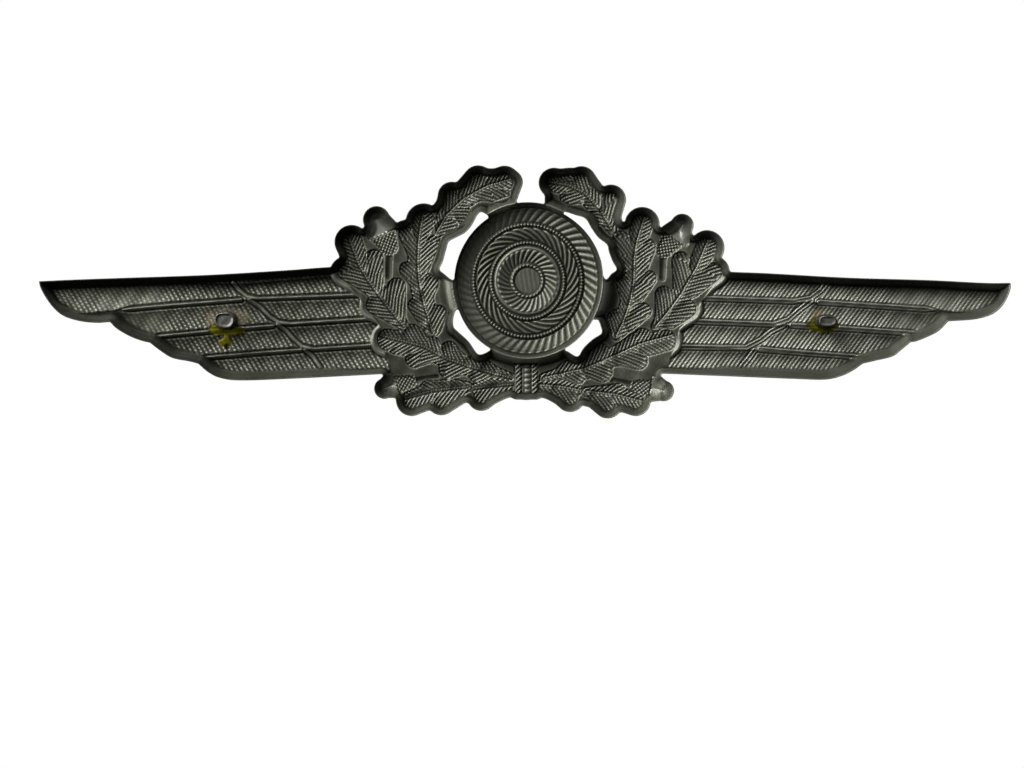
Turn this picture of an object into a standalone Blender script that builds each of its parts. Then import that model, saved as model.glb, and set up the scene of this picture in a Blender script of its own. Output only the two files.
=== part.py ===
"""Winged oak-wreath cap badge seen from its hollow back: one die-struck metal shell, with two flat
fastening prongs soldered into it.  Each prong folds over behind the cap cloth.

Frame: the origin is the cockade's centre on the plane the back rim lies in.  +Z is up as worn, +Y
points into the cap, and the face shown to the world looks along -Y.  Shapes are set out in the
back view in millimetres: u to the right, v up, so x = -u and z = v.  Left and right are as seen
from the back."""

import math

import bmesh
import bpy
import numpy as np
from mathutils import Vector
from mathutils.geometry import delaunay_2d_cdt

for old in list(bpy.data.objects):
    bpy.data.objects.remove(old, do_unlink=True)

MM = 0.001

# ---- driving dimensions, millimetres ------------------------------------------------------------
SHEET = 0.45              # struck metal thickness
RIM_LAND = 0.30           # flat cut edge that lies against the cap
EDGE_LAND = 0.20          # upright cut face round the outline
LEAF_MARGIN = 0.80        # leaf blade to outer edge
BLADE_GROW = 0.25         # blades stand this far outside the capsules they are drawn with
ACORN_MARGIN = 0.50
NOTCH = 0.40              # narrowest notch left open in the outline
WALL_SLOPE = 2.1          # fall of the walls per millimetre inwards
FLOOR = 1.55              # ground of the relief below the rim plane
LEAF_STEP = 0.55          # leaf blades sink this much deeper
ACORN_STEP = 0.95
SHAFT_RISE = 0.30         # feather shafts stand up from the wing floor
SHAFT_HALF = 0.28
COCKADE_RADIUS = 9.45
COCKADE_CENTRE = (-0.1, 0.0)
COCKADE_EDGE = (0.1, -0.36, 9.4)   # centre and radius of the cut edge that faces the openings
TIE_CENTRE, TIE_HALF = (-0.3, -12.4), (1.55, 2.1)

PRONG_AT = {"left": (-37.85, -5.0), "right": (37.2, -5.1)}
PRONG_SIZE = {"left": (2.3, 1.6), "right": (2.2, 1.2)}   # soft stub, wide along X
TIP_TAPER = 0.90                        # tip against root
PIVOT_HEIGHT = 2.5                      # fold line behind the rim plane
TIP_HEIGHT = 7.6
FOLD_GAP = 0.06
SOLDER_REACH = (0.25, 0.35)             # solder fillet beyond the prong, along X and Z
SOLDER_HEIGHT = 0.80
PAD_RADIUS = 1.75                       # plain patch of wing floor under each solder joint
FIT = 0.02

# ---- leaves: midrib points, then lobes as tip (u, v, radius) and base (u, v, radius) ---------------
LEAVES = {
    "left_crown": (
        [(-2.9, 12.5), (-5.0, 11.9), (-8.0, 10.3), (-10.2, 8.2), (-11.5, 6.0)],
        [(-3.0, 12.4, 0.9, -6.5, 11.2, 0.8), (-6.3, 12.5, 0.85, -8.4, 10.0, 0.9),
         (-9.6, 10.6, 0.7, -9.8, 8.6, 0.9), (-3.4, 10.8, 0.85, -6.6, 11.2, 0.8),
         (-8.2, 8.2, 0.9, -9.4, 8.9, 0.8), (-9.9, 7.2, 0.85, -11.0, 6.6, 0.7)]),
    "left_inner": (
        [(-13.3, 7.8), (-13.7, 5.0), (-13.8, 2.5), (-13.7, 0.4), (-13.4, -1.3), (-13.0, -3.0),
         (-12.5, -4.7), (-12.0, -6.4)],
        [(-13.1, 7.4, 1.2, -13.6, 5.0, 0.9), (-15.3, 5.8, 0.75, -13.8, 3.0, 0.9),
         (-12.1, 4.9, 0.85, -13.3, 2.2, 0.9), (-15.2, 1.4, 0.75, -13.9, -0.2, 0.8),
         (-12.2, -0.2, 0.75, -12.9, -2.2, 0.7), (-14.2, -3.1, 0.7, -13.2, -4.8, 0.6),
         (-11.3, -4.1, 0.85, -11.8, -5.9, 0.7)]),
    "left_outer": (
        [(-22.2, 4.6), (-21.2, 2.0), (-20.2, 0.3), (-19.0, -1.4), (-17.8, -3.0), (-16.8, -4.2),
         (-15.6, -5.7)],
        [(-22.1, 4.8, 1.1, -21.0, 1.9, 0.9), (-22.9, 1.1, 0.85, -19.7, -0.4, 1.2),
         (-19.2, -3.1, 0.95, -17.0, -4.1, 1.0), (-19.3, 2.8, 0.9, -19.3, -0.3, 0.9),
         (-16.5, -0.8, 0.95, -16.7, -3.7, 1.1)]),
    "left_lower": (
        [(-18.0, -7.0), (-16.0, -7.5), (-13.0, -8.3), (-10.0, -9.9), (-6.0, -11.2), (-2.2, -12.2)],
        [(-17.6, -7.4, 1.15, -15.2, -8.0, 1.1), (-16.6, -8.1, 0.9, -14.6, -8.4, 0.9),
         (-14.6, -6.8, 1.15, -12.4, -8.2, 1.2),
         (-9.9, -8.7, 0.9, -8.8, -10.2, 1.0), (-5.2, -10.9, 0.7, -4.5, -11.4, 0.6),
         (-14.3, -9.8, 0.9, -12.2, -9.0, 1.0), (-10.0, -11.1, 1.0, -8.4, -10.6, 1.0),
         (-6.6, -11.9, 0.6, -5.4, -11.6, 0.6)]),
    "left_bottom": (
        [(-15.0, -14.6), (-12.0, -13.8), (-9.5, -13.5), (-7.6, -13.3)],
        [(-14.6, -15.0, 0.9, -11.5, -13.9, 0.8), (-12.6, -13.2, 0.6, -10.6, -13.6, 0.8),
         (-10.9, -15.0, 0.8, -9.0, -13.7, 0.9)]),
    "left_small": (
        [(-6.6, -13.5), (-4.5, -13.2), (-2.0, -13.0)],
        [(-5.9, -14.5, 0.75, -4.2, -13.4, 0.6)]),
    "right_crown": (
        [(2.9, 12.3), (5.0, 12.0), (7.2, 10.9), (9.1, 8.9), (10.5, 6.4)],
        [(3.2, 12.2, 0.85, 6.3, 11.4, 0.8), (6.6, 12.4, 0.85, 8.2, 9.9, 0.9),
         (10.3, 10.1, 0.85, 9.8, 8.3, 0.8), (4.9, 10.4, 0.75, 6.8, 10.8, 0.8),
         (8.4, 7.9, 0.85, 9.4, 8.4, 0.8)]),
    "right_inner": (
        [(14.3, 7.0), (13.7, 5.0), (13.35, 3.0), (13.3, 0.0), (13.0, -1.8), (12.5, -3.7),
         (11.9, -5.3), (11.1, -6.9)],
        [(14.2, 7.0, 1.15, 13.6, 4.8, 0.9), (11.6, 5.2, 0.85, 13.0, 2.5, 0.9),
         (14.9, 4.2, 0.85, 13.8, 1.6, 0.9), (11.9, -0.2, 0.75, 12.5, -2.8, 0.6),
         (15.1, 0.3, 0.75, 13.6, -1.6, 0.9), (10.9, -4.6, 0.8, 11.3, -6.2, 0.8),
         (14.4, -3.8, 0.8, 12.6, -5.4, 0.7)]),
    "right_outer": (
        [(22.2, 4.1), (21.2, 1.7), (20.2, 0.0), (19.3, -1.6), (18.3, -3.0), (17.2, -4.4),
         (16.0, -5.8)],
        [(22.3, 4.1, 1.15, 21.0, 1.6, 0.9), (19.1, 2.5, 0.9, 19.3, -0.7, 0.95),
         (17.0, -1.8, 0.9, 17.0, -4.2, 0.9), (23.2, 1.1, 0.9, 20.3, -0.8, 1.2),
         (19.9, -3.5, 0.95, 17.8, -4.9, 0.9)]),
    "right_lower": (
        [(17.6, -7.0), (14.0, -8.0), (11.0, -9.4), (7.0, -11.1), (2.0, -12.2)],
        [(17.2, -7.5, 1.1, 14.6, -8.2, 1.1), (14.3, -7.2, 1.05, 12.0, -8.9, 1.1),
         (9.0, -8.9, 0.9, 8.0, -10.4, 1.0), (4.8, -10.9, 0.7, 4.2, -11.4, 0.6),
         (13.8, -10.0, 0.95, 11.7, -9.4, 1.0), (9.3, -11.5, 1.0, 7.8, -10.9, 1.0),
         (6.2, -12.2, 0.6, 5.0, -11.7, 0.6)]),
    "right_bottom": (
        [(13.6, -15.0), (11.0, -14.3), (7.4, -13.9)],
        [(13.4, -15.1, 0.8, 11.0, -14.3, 0.8), (11.3, -13.6, 0.6, 9.6, -14.1, 0.7),
         (9.9, -15.4, 0.8, 8.6, -14.3, 0.8)]),
    "right_small": (
        [(6.2, -13.7), (4.0, -13.3), (1.6, -13.1)],
        [(5.2, -14.6, 0.8, 3.6, -13.5, 0.6)]),
}

# ---- acorns: nut tip, nut shoulder, cup, each (u, v, radius) -----------------------------------------
ACORNS = {
    "left_upper": ((-19.0, 7.6, 1.2), (-18.5, 6.4, 1.7), (-17.5, 4.3, 1.2)),
    "left_lower": ((-18.0, -13.5, 0.8), (-17.1, -13.1, 1.25), (-14.9, -12.7, 0.9)),
    "right_upper": ((19.2, 6.9, 0.95), (18.6, 5.8, 1.6), (17.1, 3.9, 1.1)),
    "right_lower": ((16.9, -13.8, 0.8), (15.9, -13.5, 1.25), (13.7, -13.3, 0.9)),
}

# ---- wings: runs of outline, corners between runs ---------------------------------------------------
WINGS = {
    "left": [
        [(-15, 2.0), (-24.5, 1.7), (-30, 1.3), (-40, 0.7), (-50, 0.35), (-57, 0.1), (-61.2, -0.1)],
        [(-61.2, -0.1), (-61.0, -0.9), (-60.3, -2.2), (-59.3, -3.5), (-58, -4.5), (-56, -5.1),
         (-54, -5.3), (-52.3, -5.2)],
        [(-52.3, -5.2), (-51.5, -6), (-50, -6.9), (-48.5, -7.5), (-47.3, -7.8)],
        [(-47.3, -7.8), (-46, -8.8), (-44.5, -9.7), (-42.5, -10.1), (-41.3, -10.4)],
        [(-41.3, -10.4), (-40, -11.5), (-38.5, -12.2), (-36, -12.5), (-30, -12.3), (-20, -11.8),
         (-17, -11.6)],
        [(-17, -11.6), (-13, -8)], [(-13, -8), (-13, -2)], [(-13, -2), (-15, 2.0)]],
    "right": [
        [(15, 1.6), (25, 1.1), (30, 0.9), (40, 0.35), (50, 0.05), (57, -0.3), (60.3, -0.3)],
        [(60.3, -0.3), (60.2, -1.3), (59.5, -2.8), (58.5, -3.9), (57.3, -4.5), (55.5, -4.9),
         (52.5, -5.1)],
        [(52.5, -5.1), (51.3, -6.3), (50, -7), (48.5, -7.6), (47.8, -7.7)],
        [(47.8, -7.7), (46.7, -8.6), (45.5, -9.5), (43.5, -10), (41.8, -10.4)],
        [(41.8, -10.4), (40.5, -11.3), (39, -12), (37, -12.4), (33, -12.3), (18, -11.7),
         (16, -11.6)],
        [(16, -11.6), (12, -8)], [(12, -8), (12, -2)], [(12, -2), (15, 1.6)]],
}
SHAFTS = [
    [(-52.5, -3.8), (-45, -3.1), (-36, -2.4)],
    [(-46.5, -7.0), (-39, -6.3), (-32, -5.7)],
    [(-40.8, -9.7), (-34, -9.1), (-28.5, -8.7)],
    [(-37, -0.2), (-36.2, -1.2), (-35.2, -1.95), (-33.8, -2.25), (-28, -2.05), (-21, -1.8)],
    [(-35, -2.4), (-33.6, -3.3), (-32.3, -4.6), (-31.3, -5.2), (-29.8, -5.4), (-20, -4.8)],
    [(-31.5, -5.4), (-30.3, -6.3), (-29.4, -7.3), (-28.4, -8.2), (-26.9, -8.6), (-19, -8.1)],
    [(-28, -8.7), (-27, -9.5), (-26, -10.9)],
    [(36.5, -2.7), (44, -3.2), (51.8, -3.7)],
    [(33, -5.6), (41, -6.1), (48.5, -6.6)],
    [(29, -8.6), (35, -9.1), (42.2, -9.6)],
    [(21.5, -2.2), (28, -2.4), (33.3, -2.6), (35.4, -2.2), (36.7, -1.2), (37.5, -0.2)],
    [(20.5, -5.1), (26, -5.3), (30.8, -5.5), (32.6, -4.9), (33.8, -3.8), (35.5, -2.5)],
    [(18.5, -8.3), (24, -8.4), (27.3, -8.4), (29.2, -7.4), (30.4, -6.4), (32, -5.6)],
    [(26.6, -10.9), (27.5, -9.9), (28.4, -8.7)],
]

# ---- webs of plain floor that join the parts of the wreath, (u, v) to (u, v), radius --------------
WEBS = [
    (-11, 3, -15, -4, 2.2), (-9, -1.5, -12, -2.0, 1.2), (-17, 3.5, -17.3, -1, 1.5),
    (11, 3, 14, -4, 2.0), (9, -1.5, 12, -2.0, 1.2), (17, 2.5, 17, -1, 1.5),
    (-2.2, 12.3, -2.9, 10.4, 1.5), (-3.0, 10.0, -8, 9.2, 1.0), (3.2, 10.0, 8, 8.6, 1.15),
    (-2.6, 9.3, -5.2, 8.7, 0.9), (2.9, 10.9, 3.0, 9.8, 0.9), (-4.4, -9.9, 4.4, -9.9, 0.9),
    (-0.3, -10.9, -0.3, -13.6, 1.3), (-2.2, -13.2, 1.7, -13.2, 1.2), (-1.4, -13.7, 0.9, -13.7, 1.2),
    (-9, -9, -4.5, -10.2, 0.7), (9, -9.4, 4.5, -10.2, 0.7), (-15, -10.5, -5, -13, 1.6),
    (13, -10.5, 5, -12.8, 1.6), (-15.5, -12, -13, -11, 1.2), (15, -12, 12.5, -11.3, 1.2),
    (-6.6, -14.6, -7.6, -14.4, 0.9), (7.4, -14.9, 6.4, -14.6, 0.9),
    (-10.4, 5.2, -7.2, 7.6, 1.3), (8.6, 7.4, 10.6, 5.2, 1.3), (-9.4, -2.0, -10.0, -4.8, 1.2),
    (-10.0, -6.8, -7.4, -9.0, 1.45), (9.3, -2.2, 9.6, -4.6, 1.3), (9.9, -6.4, 7.4, -9.4, 1.3),
    (-6.4, -9.8, -4.4, -9.7, 1.0), (6.2, -9.9, 4.4, -9.7, 0.9), (-9.0, -1.0, -11.0, -0.9, 1.35),
    (9.0, -0.9, 11.0, -0.7, 1.35),
]
# ---- pierced openings round the cockade: the outer side of each as a smooth run; the cockade's
# own edge closes the inner side -------------------------------------------------------------------
OPENINGS = [
    [(-4.6, 7.6), (-5.2, 8.2), (-5.9, 8.55), (-6.4, 8.15), (-7.1, 6.9), (-7.9, 6.0), (-9.1, 5.35),
     (-9.95, 4.85), (-10.25, 4.0), (-10.7, 2.4), (-11.1, 1.4), (-10.5, 0.8), (-9.6, 0.1),
     (-8.4, -0.3)],
    [(-8.4, -3.0), (-9.1, -3.8), (-9.4, -4.8), (-9.35, -5.8), (-8.8, -6.4), (-7.5, -7.6),
     (-6.6, -8.9), (-6.1, -9.25), (-5.3, -9.0), (-4.4, -8.4)],
    [(3.8, 8.4), (4.5, 8.6), (5.8, 8.2), (7.1, 7.75), (7.8, 6.65), (8.7, 5.4), (9.8, 4.5),
     (10.05, 3.6), (10.5, 2.4), (11.0, 1.4), (10.3, 0.8), (9.8, 0.2), (8.6, -0.3)],
    [(7.6, -4.2), (8.6, -4.8), (9.05, -5.8), (9.1, -6.6), (8.0, -7.35), (6.9, -8.4), (6.35, -9.3),
     (5.9, -9.45), (5.0, -8.9), (4.2, -8.3)],
]
# ---- cockade rings: radius and depth below the rim plane -------------------------------------------
RINGS = [(9.45, 0.0), (9.1, 0.0), (8.7, 1.0), (8.0, 1.35), (7.15, 1.75), (6.8, 1.45), (6.4, 1.75),
         (5.6, 1.50), (4.9, 1.85), (4.55, 1.60), (4.2, 1.95), (3.2, 1.75), (2.3, 2.05),
         (1.9, 1.80), (1.55, 1.95), (0.0, 1.95)]


def capsule(u, v, a, b, ra, rb):
    du, dv = b[0] - a[0], b[1] - a[1]
    t = np.clip(((u - a[0]) * du + (v - a[1]) * dv) / (du * du + dv * dv + 1e-12), 0, 1)
    return np.hypot(u - a[0] - t * du, v - a[1] - t * dv) - (ra + (rb - ra) * t)


def blend_min(a, b, k):
    h = np.clip(0.5 + 0.5 * (b - a) / k, 0, 1)
    return b + (a - b) * h - k * h * (1 - h)


def smooth_run(points, steps):
    """A Catmull-Rom curve through a run of outline points, without its last point."""
    p = [np.array(q, float) for q in points]
    if len(p) == 2:
        return p[:1]
    p = [2 * p[0] - p[1]] + p + [2 * p[-1] - p[-2]]
    out = []
    for a, b, c, d in zip(p, p[1:], p[2:], p[3:]):
        for s in range(steps):
            t = s / steps
            out.append(0.5 * (2 * b + (c - a) * t + (2 * a - 5 * b + 4 * c - d) * t * t
                              + (3 * b - a - 3 * c + d) * t ** 3))
    return out


def polygon_distance(u, v, points):
    dist = np.full(np.shape(u), 1e9)
    inside = np.zeros(np.shape(u), bool)
    for a, b in zip(points, points[1:] + points[:1]):
        dist = np.minimum(dist, capsule(u, v, a, b, 0, 0))
        if a[1] != b[1]:
            cross = a[0] + (v - a[1]) * (b[0] - a[0]) / (b[1] - a[1])
            inside ^= ((a[1] > v) != (b[1] > v)) & (u < cross)
    return np.where(inside, -dist, dist)


def leaf_distance(u, v, leaf):
    rib, lobes = leaf
    dist = np.full(np.shape(u), 1e9)
    for k, (a, b) in enumerate(zip(rib, rib[1:])):
        dist = np.minimum(dist, capsule(u, v, a, b, *rib_widths(rib, k)))
    for tu, tv, tr, bu, bv, br in lobes:
        dist = blend_min(dist, capsule(u, v, (tu, tv), (bu, bv), tr, br), 0.5)
    return dist - BLADE_GROW


def rib_widths(rib, k):
    """Half widths of the blade along the midrib: full in the middle, narrow at both ends."""
    wide = [min(0.45 + 0.55 * min(i, len(rib) - 1 - i), 1.0) for i in (k, k + 1)]
    return wide


def acorn_distance(u, v, acorn):
    tip, shoulder, cup = acorn
    nut = capsule(u, v, tip[:2], shoulder[:2], tip[2], shoulder[2])
    return np.minimum(nut, capsule(u, v, shoulder[:2], cup[:2], shoulder[2], cup[2]))


WING_POINTS = {side: [tuple(p) for run in runs for p in smooth_run(run, 4)]
               for side, runs in WINGS.items()}


def cockade_radius(u, v):
    return np.hypot(u - COCKADE_CENTRE[0], 0.965 * (v - COCKADE_CENTRE[1]))


def tie_distance(u, v):
    return np.maximum(np.abs(u - TIE_CENTRE[0]) - TIE_HALF[0],
                      np.abs(v - TIE_CENTRE[1]) - TIE_HALF[1])


def fields(u, v):
    """Signed distances in the back view: the badge's outline, then leaves, acorns and wings."""
    leaves = np.full(np.shape(u), 1e9)
    for leaf in LEAVES.values():
        leaves = np.minimum(leaves, leaf_distance(u, v, leaf))
    acorns = np.full(np.shape(u), 1e9)
    for acorn in ACORNS.values():
        acorns = np.minimum(acorns, acorn_distance(u, v, acorn))
    wings = np.minimum(*(polygon_distance(u, v, WING_POINTS[s]) for s in ("left", "right")))
    out = blend_min(leaves - LEAF_MARGIN, acorns - ACORN_MARGIN, 0.25)
    for u0, v0, u1, v1, radius in WEBS:
        out = np.minimum(out, capsule(u, v, (u0, v0), (u1, v1), radius, radius))
    radius = cockade_radius(u, v)
    out = np.minimum(np.minimum(out, wings), np.minimum(radius - COCKADE_RADIUS, tie_distance(u, v)))
    edge_u, edge_v, edge_radius = COCKADE_EDGE
    rim = edge_radius - np.hypot(u - edge_u, 0.965 * (v - edge_v))
    for run in OPENINGS:
        opening = polygon_distance(u, v, [tuple(p) for p in smooth_run(run, 4)])
        out = np.maximum(out, -np.maximum(opening, rim))
    return out, leaves, acorns, wings


def shaft_distance(u, v):
    dist = np.full(np.shape(u), 1e9)
    for line in SHAFTS:
        for a, b in zip(line, line[1:]):
            dist = np.minimum(dist, capsule(u, v, a, b, 0, 0))
    return dist


def pad_distance(u, v):
    return np.minimum(*(np.hypot(u - p[0], v - p[1]) for p in PRONG_AT.values()))


def ramp(x, lo, hi):
    return np.clip((x - lo) / (hi - lo), 0, 1)


def back_depth(u, v, edge, grow=0.0):
    """Depth of the hollow back below the rim plane, edge being the distance in from the outline;
    grow widens every raised or sunk form."""
    _, leaves, acorns, wings = fields(u, v)
    floor = FLOOR + LEAF_STEP * ramp(-(leaves - grow), 0.0, 0.3)
    floor = np.maximum(floor, FLOOR + ACORN_STEP * np.sqrt(ramp(-(acorns - grow), 0.0, 1.3)))
    rise = SHAFT_RISE * (1 - ramp(shaft_distance(u, v), 0.0, SHAFT_HALF + 0.3))
    rise = rise * ramp(pad_distance(u, v), PAD_RADIUS, PAD_RADIUS + 0.7) * ramp(leaves, 0.3, 1.0)
    floor = floor - rise * (wings < 0)
    floor = np.maximum(floor, FLOOR + 0.3 * ramp(-(tie_distance(u, v) - grow), 0.3, 0.6))
    wall = WALL_SLOPE * np.maximum(edge - RIM_LAND, 0)
    radius = cockade_radius(u, v)
    rings = np.interp(radius, [r for r, _ in RINGS][::-1], [d for _, d in RINGS][::-1])
    depth = np.minimum(floor, wall)
    outer = ramp(edge, RIM_LAND, RIM_LAND + 0.5)
    slope = FLOOR * ramp(radius, COCKADE_RADIUS + 0.1, COCKADE_RADIUS + 1.0)
    return np.where(radius < COCKADE_RADIUS, np.minimum(rings, 2.5 * outer), np.minimum(depth, slope
                    + (radius > COCKADE_RADIUS + 1.0) * ACORN_STEP))


def contour(field, us, vs, level, keep):
    """Closed loops where the field crosses a level, thinned to a chord error of keep."""
    above = field > level
    link = {}

    def cut(i, j, di, dj):
        f0, f1 = field[j, i] - level, field[j + dj, i + di] - level
        t = min(max(f0 / (f0 - f1), 0.02), 0.98)
        return us[i] + t * di * (us[1] - us[0]), vs[j] + t * dj * (vs[1] - vs[0])

    busy = (above[:-1, :-1] != above[1:, :-1]) | (above[:-1, :-1] != above[:-1, 1:]) \
        | (above[:-1, :-1] != above[1:, 1:])
    where = {}
    for j, i in zip(*np.nonzero(busy)):
        sides = [(i, j, 1, 0), (i + 1, j, 0, 1), (i, j + 1, 1, 0), (i, j, 0, 1)]
        hits = [s for s in sides if above[s[1], s[0]] != above[s[1] + s[3], s[0] + s[2]]]
        if len(hits) == 4:
            centre = field[j:j + 2, i:i + 2].mean() > level
            pairs = [(0, 3), (1, 2)] if centre != above[j, i] else [(0, 1), (2, 3)]
        else:
            pairs = [(0, 1)]
        for a, b in pairs:
            for p, q in ((hits[a], hits[b]), (hits[b], hits[a])):
                link.setdefault(p, []).append(q)
                where.setdefault(p, cut(*p))
    loops, seen = [], set()
    for start in link:
        if start in seen:
            continue
        loop, here, prev = [], start, None
        while here not in seen:
            seen.add(here)
            loop.append(where[here])
            ahead = [q for q in link[here] if q != prev and q not in seen]
            prev = here
            if not ahead:
                break
            here = ahead[0]
        if len(loop) > 8:
            loops.append(thin(loop, keep))
    return [loop for loop in loops if len(loop) > 3]


def edge_distance(u, v, loops):
    """True distance in from the nearest outline loop, negative outside."""
    dist = np.full(np.shape(u), -1e9)
    for loop in loops:
        one = polygon_distance(u, v, loop)
        near = np.minimum(np.abs(dist), np.abs(one))
        dist = np.where((dist > 0) != (one < 0), near, -near)
    return dist


def closed_outline(out, grid_u, grid_v, us, vs):
    """The outline's loops, with every notch narrower than NOTCH filled."""
    half = NOTCH / 2
    rough = edge_distance(grid_u, grid_v, contour(out, us, vs, 0.0, 0.02))
    wide = edge_distance(grid_u, grid_v, contour(rough, us, vs, -half, 0.02))
    return contour(wide, us, vs, half, 0.05)


def thin(loop, keep):
    """Drop points that lie within keep of the chord between their neighbours."""
    pts = np.array(loop + loop[:1])
    kept = np.zeros(len(pts), bool)
    far = int(np.argmax(np.hypot(*(pts - pts[0]).T)))
    spans = [(0, far), (far, len(pts) - 1)]
    kept[[0, far, -1]] = True
    while spans:
        a, b = spans.pop()
        if b - a < 2:
            continue
        d = pts[b] - pts[a]
        off = np.abs(np.cross(d, pts[a + 1:b] - pts[a])) / (np.hypot(*d) + 1e-12)
        mid = a + 1 + int(np.argmax(off))
        if off.max() > keep or (b - a) > 24:
            kept[mid] = True
            spans += [(a, mid), (mid, b)]
    return [tuple(p) for p in pts[:-1][kept[:-1]]]


def circle(centre, radius, count, squash=1.0):
    return [(centre[0] + radius * math.cos(2 * math.pi * k / count),
             centre[1] + radius / squash * math.sin(2 * math.pi * k / count))
            for k in range(count)]


def material(name, colour, metallic, roughness):
    mat = bpy.data.materials.new(name)
    mat.use_nodes = True
    shader = mat.node_tree.nodes["Principled BSDF"]
    shader.inputs["Base Color"].default_value = (*colour, 1)
    shader.inputs["Metallic"].default_value = metallic
    shader.inputs["Roughness"].default_value = roughness
    return mat


def add_object(name, verts, faces, mat):
    """Make one closed object from points in (u, v, height behind the rim plane), millimetres."""
    mesh = bpy.data.meshes.new(name)
    mesh.from_pydata([(-u * MM, h * MM, v * MM) for u, v, h in verts], [], faces)
    mesh.materials.append(mat)
    obj = bpy.data.objects.new(name, mesh)
    bpy.context.scene.collection.objects.link(obj)
    bm = bmesh.new()
    bm.from_mesh(mesh)
    bmesh.ops.recalc_face_normals(bm, faces=bm.faces)
    bm.to_mesh(mesh)
    bm.free()
    return obj


# ---- the stamping: rim, walls and relief meshed between contour lines ------------------------------
def build_stamping(mat):
    us = np.arange(-63.0, 63.0, 0.3)
    vs = np.arange(-19.0, 16.5, 0.3)
    grid_u, grid_v = np.meshgrid(us, vs)
    out, leaves, acorns, _ = fields(grid_u, grid_v)
    outline = closed_outline(out, grid_u, grid_v, us, vs)
    loops = list(outline)
    edge = edge_distance(grid_u, grid_v, outline)
    for level, keep in ((RIM_LAND, 0.06), (RIM_LAND + FLOOR / WALL_SLOPE, 0.09)):
        loops += contour(edge, us, vs, level, keep)
    inside = edge > 0.9
    for level, keep in ((0.0, 0.07), (-0.3, 0.09)):
        loops += contour(np.where(inside, leaves, 1.0), us, vs, level, keep)
    for level in (-0.05, -0.45, -0.85):
        loops += contour(acorns, us, vs, level, 0.07)
    for radius, _ in RINGS[2:-1]:
        loops.append(circle(COCKADE_CENTRE, radius, max(20, int(radius * 7)), 0.965))
    for place in PRONG_AT.values():
        loops.append(circle(place, PAD_RADIUS, 20))
    points, edges = [], []
    for loop in loops:
        first = len(points)
        points += [Vector(p) for p in loop]
        edges += [(first + k, first + (k + 1) % len(loop)) for k in range(len(loop))]
    for line in SHAFTS:
        for shift in (-SHAFT_HALF - 0.3, 0.0, SHAFT_HALF + 0.3):
            first = len(points)
            for a, b in zip(line, line[1:]):
                count = max(2, int(math.dist(a, b) / 2.5))
                points += [Vector((a[0] + (b[0] - a[0]) * k / count,
                                   a[1] + (b[1] - a[1]) * k / count + shift))
                           for k in range(count)]
            points.append(Vector((line[-1][0], line[-1][1] + shift)))
            edges += [(k, k + 1) for k in range(first, len(points) - 1)]
    flat, _, tris, _, _, _ = delaunay_2d_cdt(points, edges, [], 0, 0.02)
    u = np.array([p[0] for p in flat])
    v = np.array([p[1] for p in flat])
    tris = np.array([t for t in tris if len(t) == 3])
    tris = tris[edge_distance(u[tris].mean(1), v[tris].mean(1), outline) > 0]
    edge = np.maximum(edge_distance(u, v, outline), 0)
    back = back_depth(u, v, edge)
    front = back_depth(u, v, edge, grow=0.2) + SHEET
    front = np.minimum(front, EDGE_LAND + 2.6 * edge)
    front = np.maximum(front, back + EDGE_LAND)
    uses = {}
    for t in tris:
        for a, b in zip(t, np.roll(t, -1)):
            uses[(int(a), int(b))] = 1
    rim = [(a, b) for a, b in uses if (b, a) not in uses]
    for a, _ in rim:
        back[a], front[a] = 0.0, EDGE_LAND
    n = len(u)
    verts = [(u[k], v[k], -back[k]) for k in range(n)] + [(u[k], v[k], -front[k]) for k in range(n)]
    faces = [tuple(int(k) for k in t) for t in tris]
    faces += [tuple(int(k) + n for k in t[::-1]) for t in tris]
    for a, b in rim:
        faces += [(b, a, a + n), (b, a + n, b + n)]
    used = sorted({k for f in faces for k in f})
    renumber = {k: i for i, k in enumerate(used)}
    return add_object("stamping", [verts[k] for k in used],
                      [tuple(renumber[k] for k in f) for f in faces], mat)


# ---- prongs and solder: rings of points joined in order ---------------------------------------------
def section(place, half_u, half_v, height, count=24, power=0.35):
    ring = []
    for k in range(count):
        c = math.cos(2 * math.pi * (k + 0.5) / count)
        s = math.sin(2 * math.pi * (k + 0.5) / count)
        ring.append((place[0] + half_u * math.copysign(abs(c) ** power, c),
                     place[1] + half_v * math.copysign(abs(s) ** power, s), height))
    return ring


def skin(name, rings, mat, closed=False):
    """Join rings of equal count; capped at both ends, or joined end to end when closed."""
    count = len(rings[0])
    verts = [p for ring in rings for p in ring]
    pairs = list(zip(range(len(rings)), range(1, len(rings)))) + ([(len(rings) - 1, 0)] if closed else [])
    faces = [(a * count + k, a * count + (k + 1) % count, b * count + (k + 1) % count, b * count + k)
             for a, b in pairs for k in range(count)]
    if not closed:
        faces += [tuple(range(count))[::-1], tuple((len(rings) - 1) * count + k for k in range(count))]
    return add_object(name, verts, faces, mat)


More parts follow.
